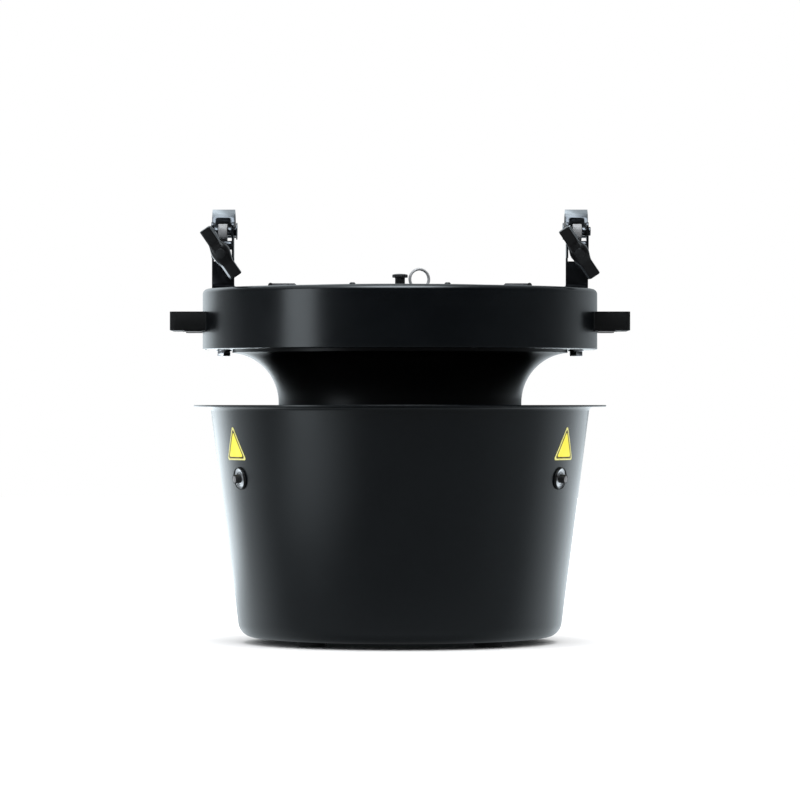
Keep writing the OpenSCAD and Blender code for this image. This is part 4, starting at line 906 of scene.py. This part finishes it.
for where, degrees in lock_turns.items():
    a = math.radians(degrees)
    outward = np.array([math.cos(a), math.sin(a), 0])
    around = np.array([-math.sin(a), math.cos(a), 0])
    normal = outward * lean - np.array([0, 0, math.sin(math.radians(tilt))])
    seat_point = outward * wall_radius(lock_z) + np.array([0, 0, lock_z])
    on_wall = (seat_point, around, np.cross(normal, around), normal)
    rings.append(placed(spun(ring_profile, 64), *on_wall))
    dishes.append(placed(spun(dish_profile, 64), *on_wall))
    shown("lock_barrel_" + where, [placed(spun(barrel_profile, 48, False), *on_wall)], "button_" + where,
          black_nylon, ["lock_button_" + where])
    shown("lock_face_" + where, [placed(spun(face_profile, 48, False), *on_wall)], "button_" + where,
          button_face, ())
shown("lock_rings", rings, "bucket", black_nylon, ["lock_gaskets"])
shown("lock_dishes", dishes, "bucket", bright_chrome, ["lock_housings"])

# ---- Triangles ----
# Two blank reflective triangles of thin yellow film, with a fine dark line inside their
# edge, stuck to the bucket above the front locks. They carry no sign and no words.
film, tree, shader = new_material("yellow_film")
inset_place = tree.nodes.new("ShaderNodeAttribute")
inset_place.attribute_name = "inset"
bands = tree.nodes.new("ShaderNodeValToRGB")
bands.color_ramp.interpolation = "CONSTANT"
bands.color_ramp.elements.new(0.86)
for point, where, colour in zip(bands.color_ramp.elements, (0.0, 0.72, 0.86),
                                ((0.74, 0.65, 0.05), (0.04, 0.03, 0.002), (0.6, 0.57, 0.2))):
    point.position = where
    point.color = (*colour, 1)
wire(tree, inset_place.outputs["Fac"], bands.inputs[0])
faded = ease(tree, noise(tree, 60.0, 4), 0.35, 0.75, 0.0, 0.12)
wire(tree, blend_colour(tree, faded, bands.outputs[0], (0.8, 0.72, 0.4, 1)), shader.inputs["Base Color"])
wire(tree, ease(tree, noise(tree, 240.0, 3), 0.3, 0.7, 0.3, 0.45), shader.inputs["Roughness"])
wire(tree, 0.1, shader.inputs["Specular IOR Level"])
film_side, film_corner, film_t, film_gap = 0.0535, 0.0025, 0.0003, 0.00004
film_z = 0.2625


def triangle_film(azimuth):
    """A rounded triangle, scaled from its middle in rings, laid round the bucket's taper: s runs
    round the wall and t up it. A point just inside the wall closes its back. Gives the shell and
    each point's scale, for the attribute inset."""
    reach = film_side / math.sqrt(3) - 2 * film_corner
    outline = np.concatenate([
        arc(reach * math.cos(math.radians(turn)), reach * math.sin(math.radians(turn)), film_corner,
            turn - 60, turn + 60, 8) for turn in (90, 210, 330)])
    ahead = np.roll(outline, -1, 0)
    step = np.hypot(*(ahead - outline).T)
    along = np.linspace(0, step.sum(), 96, endpoint=False)
    edge = np.searchsorted(np.cumsum(step), along, side="right")
    part = (along - (np.cumsum(step) - step)[edge]) / step[edge]
    outline = outline[edge] + part[:, None] * (ahead - outline)[edge]
    rings = np.concatenate([np.linspace(0, 0.66, 14), [0.715, 0.725, 0.855, 0.865, 0.94, 1.0, 1.003]])
    scale = rings[:, None]
    lift = np.where(scale > 1, 0, film_t)
    s, t = scale * outline[:, 0], scale * outline[:, 1]
    z = film_z + t * lean
    radius = wall_radius(z) + lift / lean + film_gap
    a = azimuth + s / radius
    points = np.stack([radius * np.cos(a), radius * np.sin(a), z], -1)
    shell = grid(np.concatenate([points, points[:1] * [0.999, 0.999, 1]]))
    return shell, np.repeat(np.append(rings, 1.0), len(outline))


for side, degrees in (("left", -151.3), ("right", -28.7)):
    (verts, faces), inset = triangle_film(math.radians(degrees))
    mesh = bpy.data.meshes.new("blank_triangle_" + side)
    mesh.from_pydata(verts.tolist(), [], faces.tolist())
    mesh.attributes.new("inset", "FLOAT", "POINT").data.foreach_set("value", inset.astype(np.float32))
    fitted(bpy.data.objects.new("blank_triangle_" + side, merged(mesh, film, 50)), "bucket")
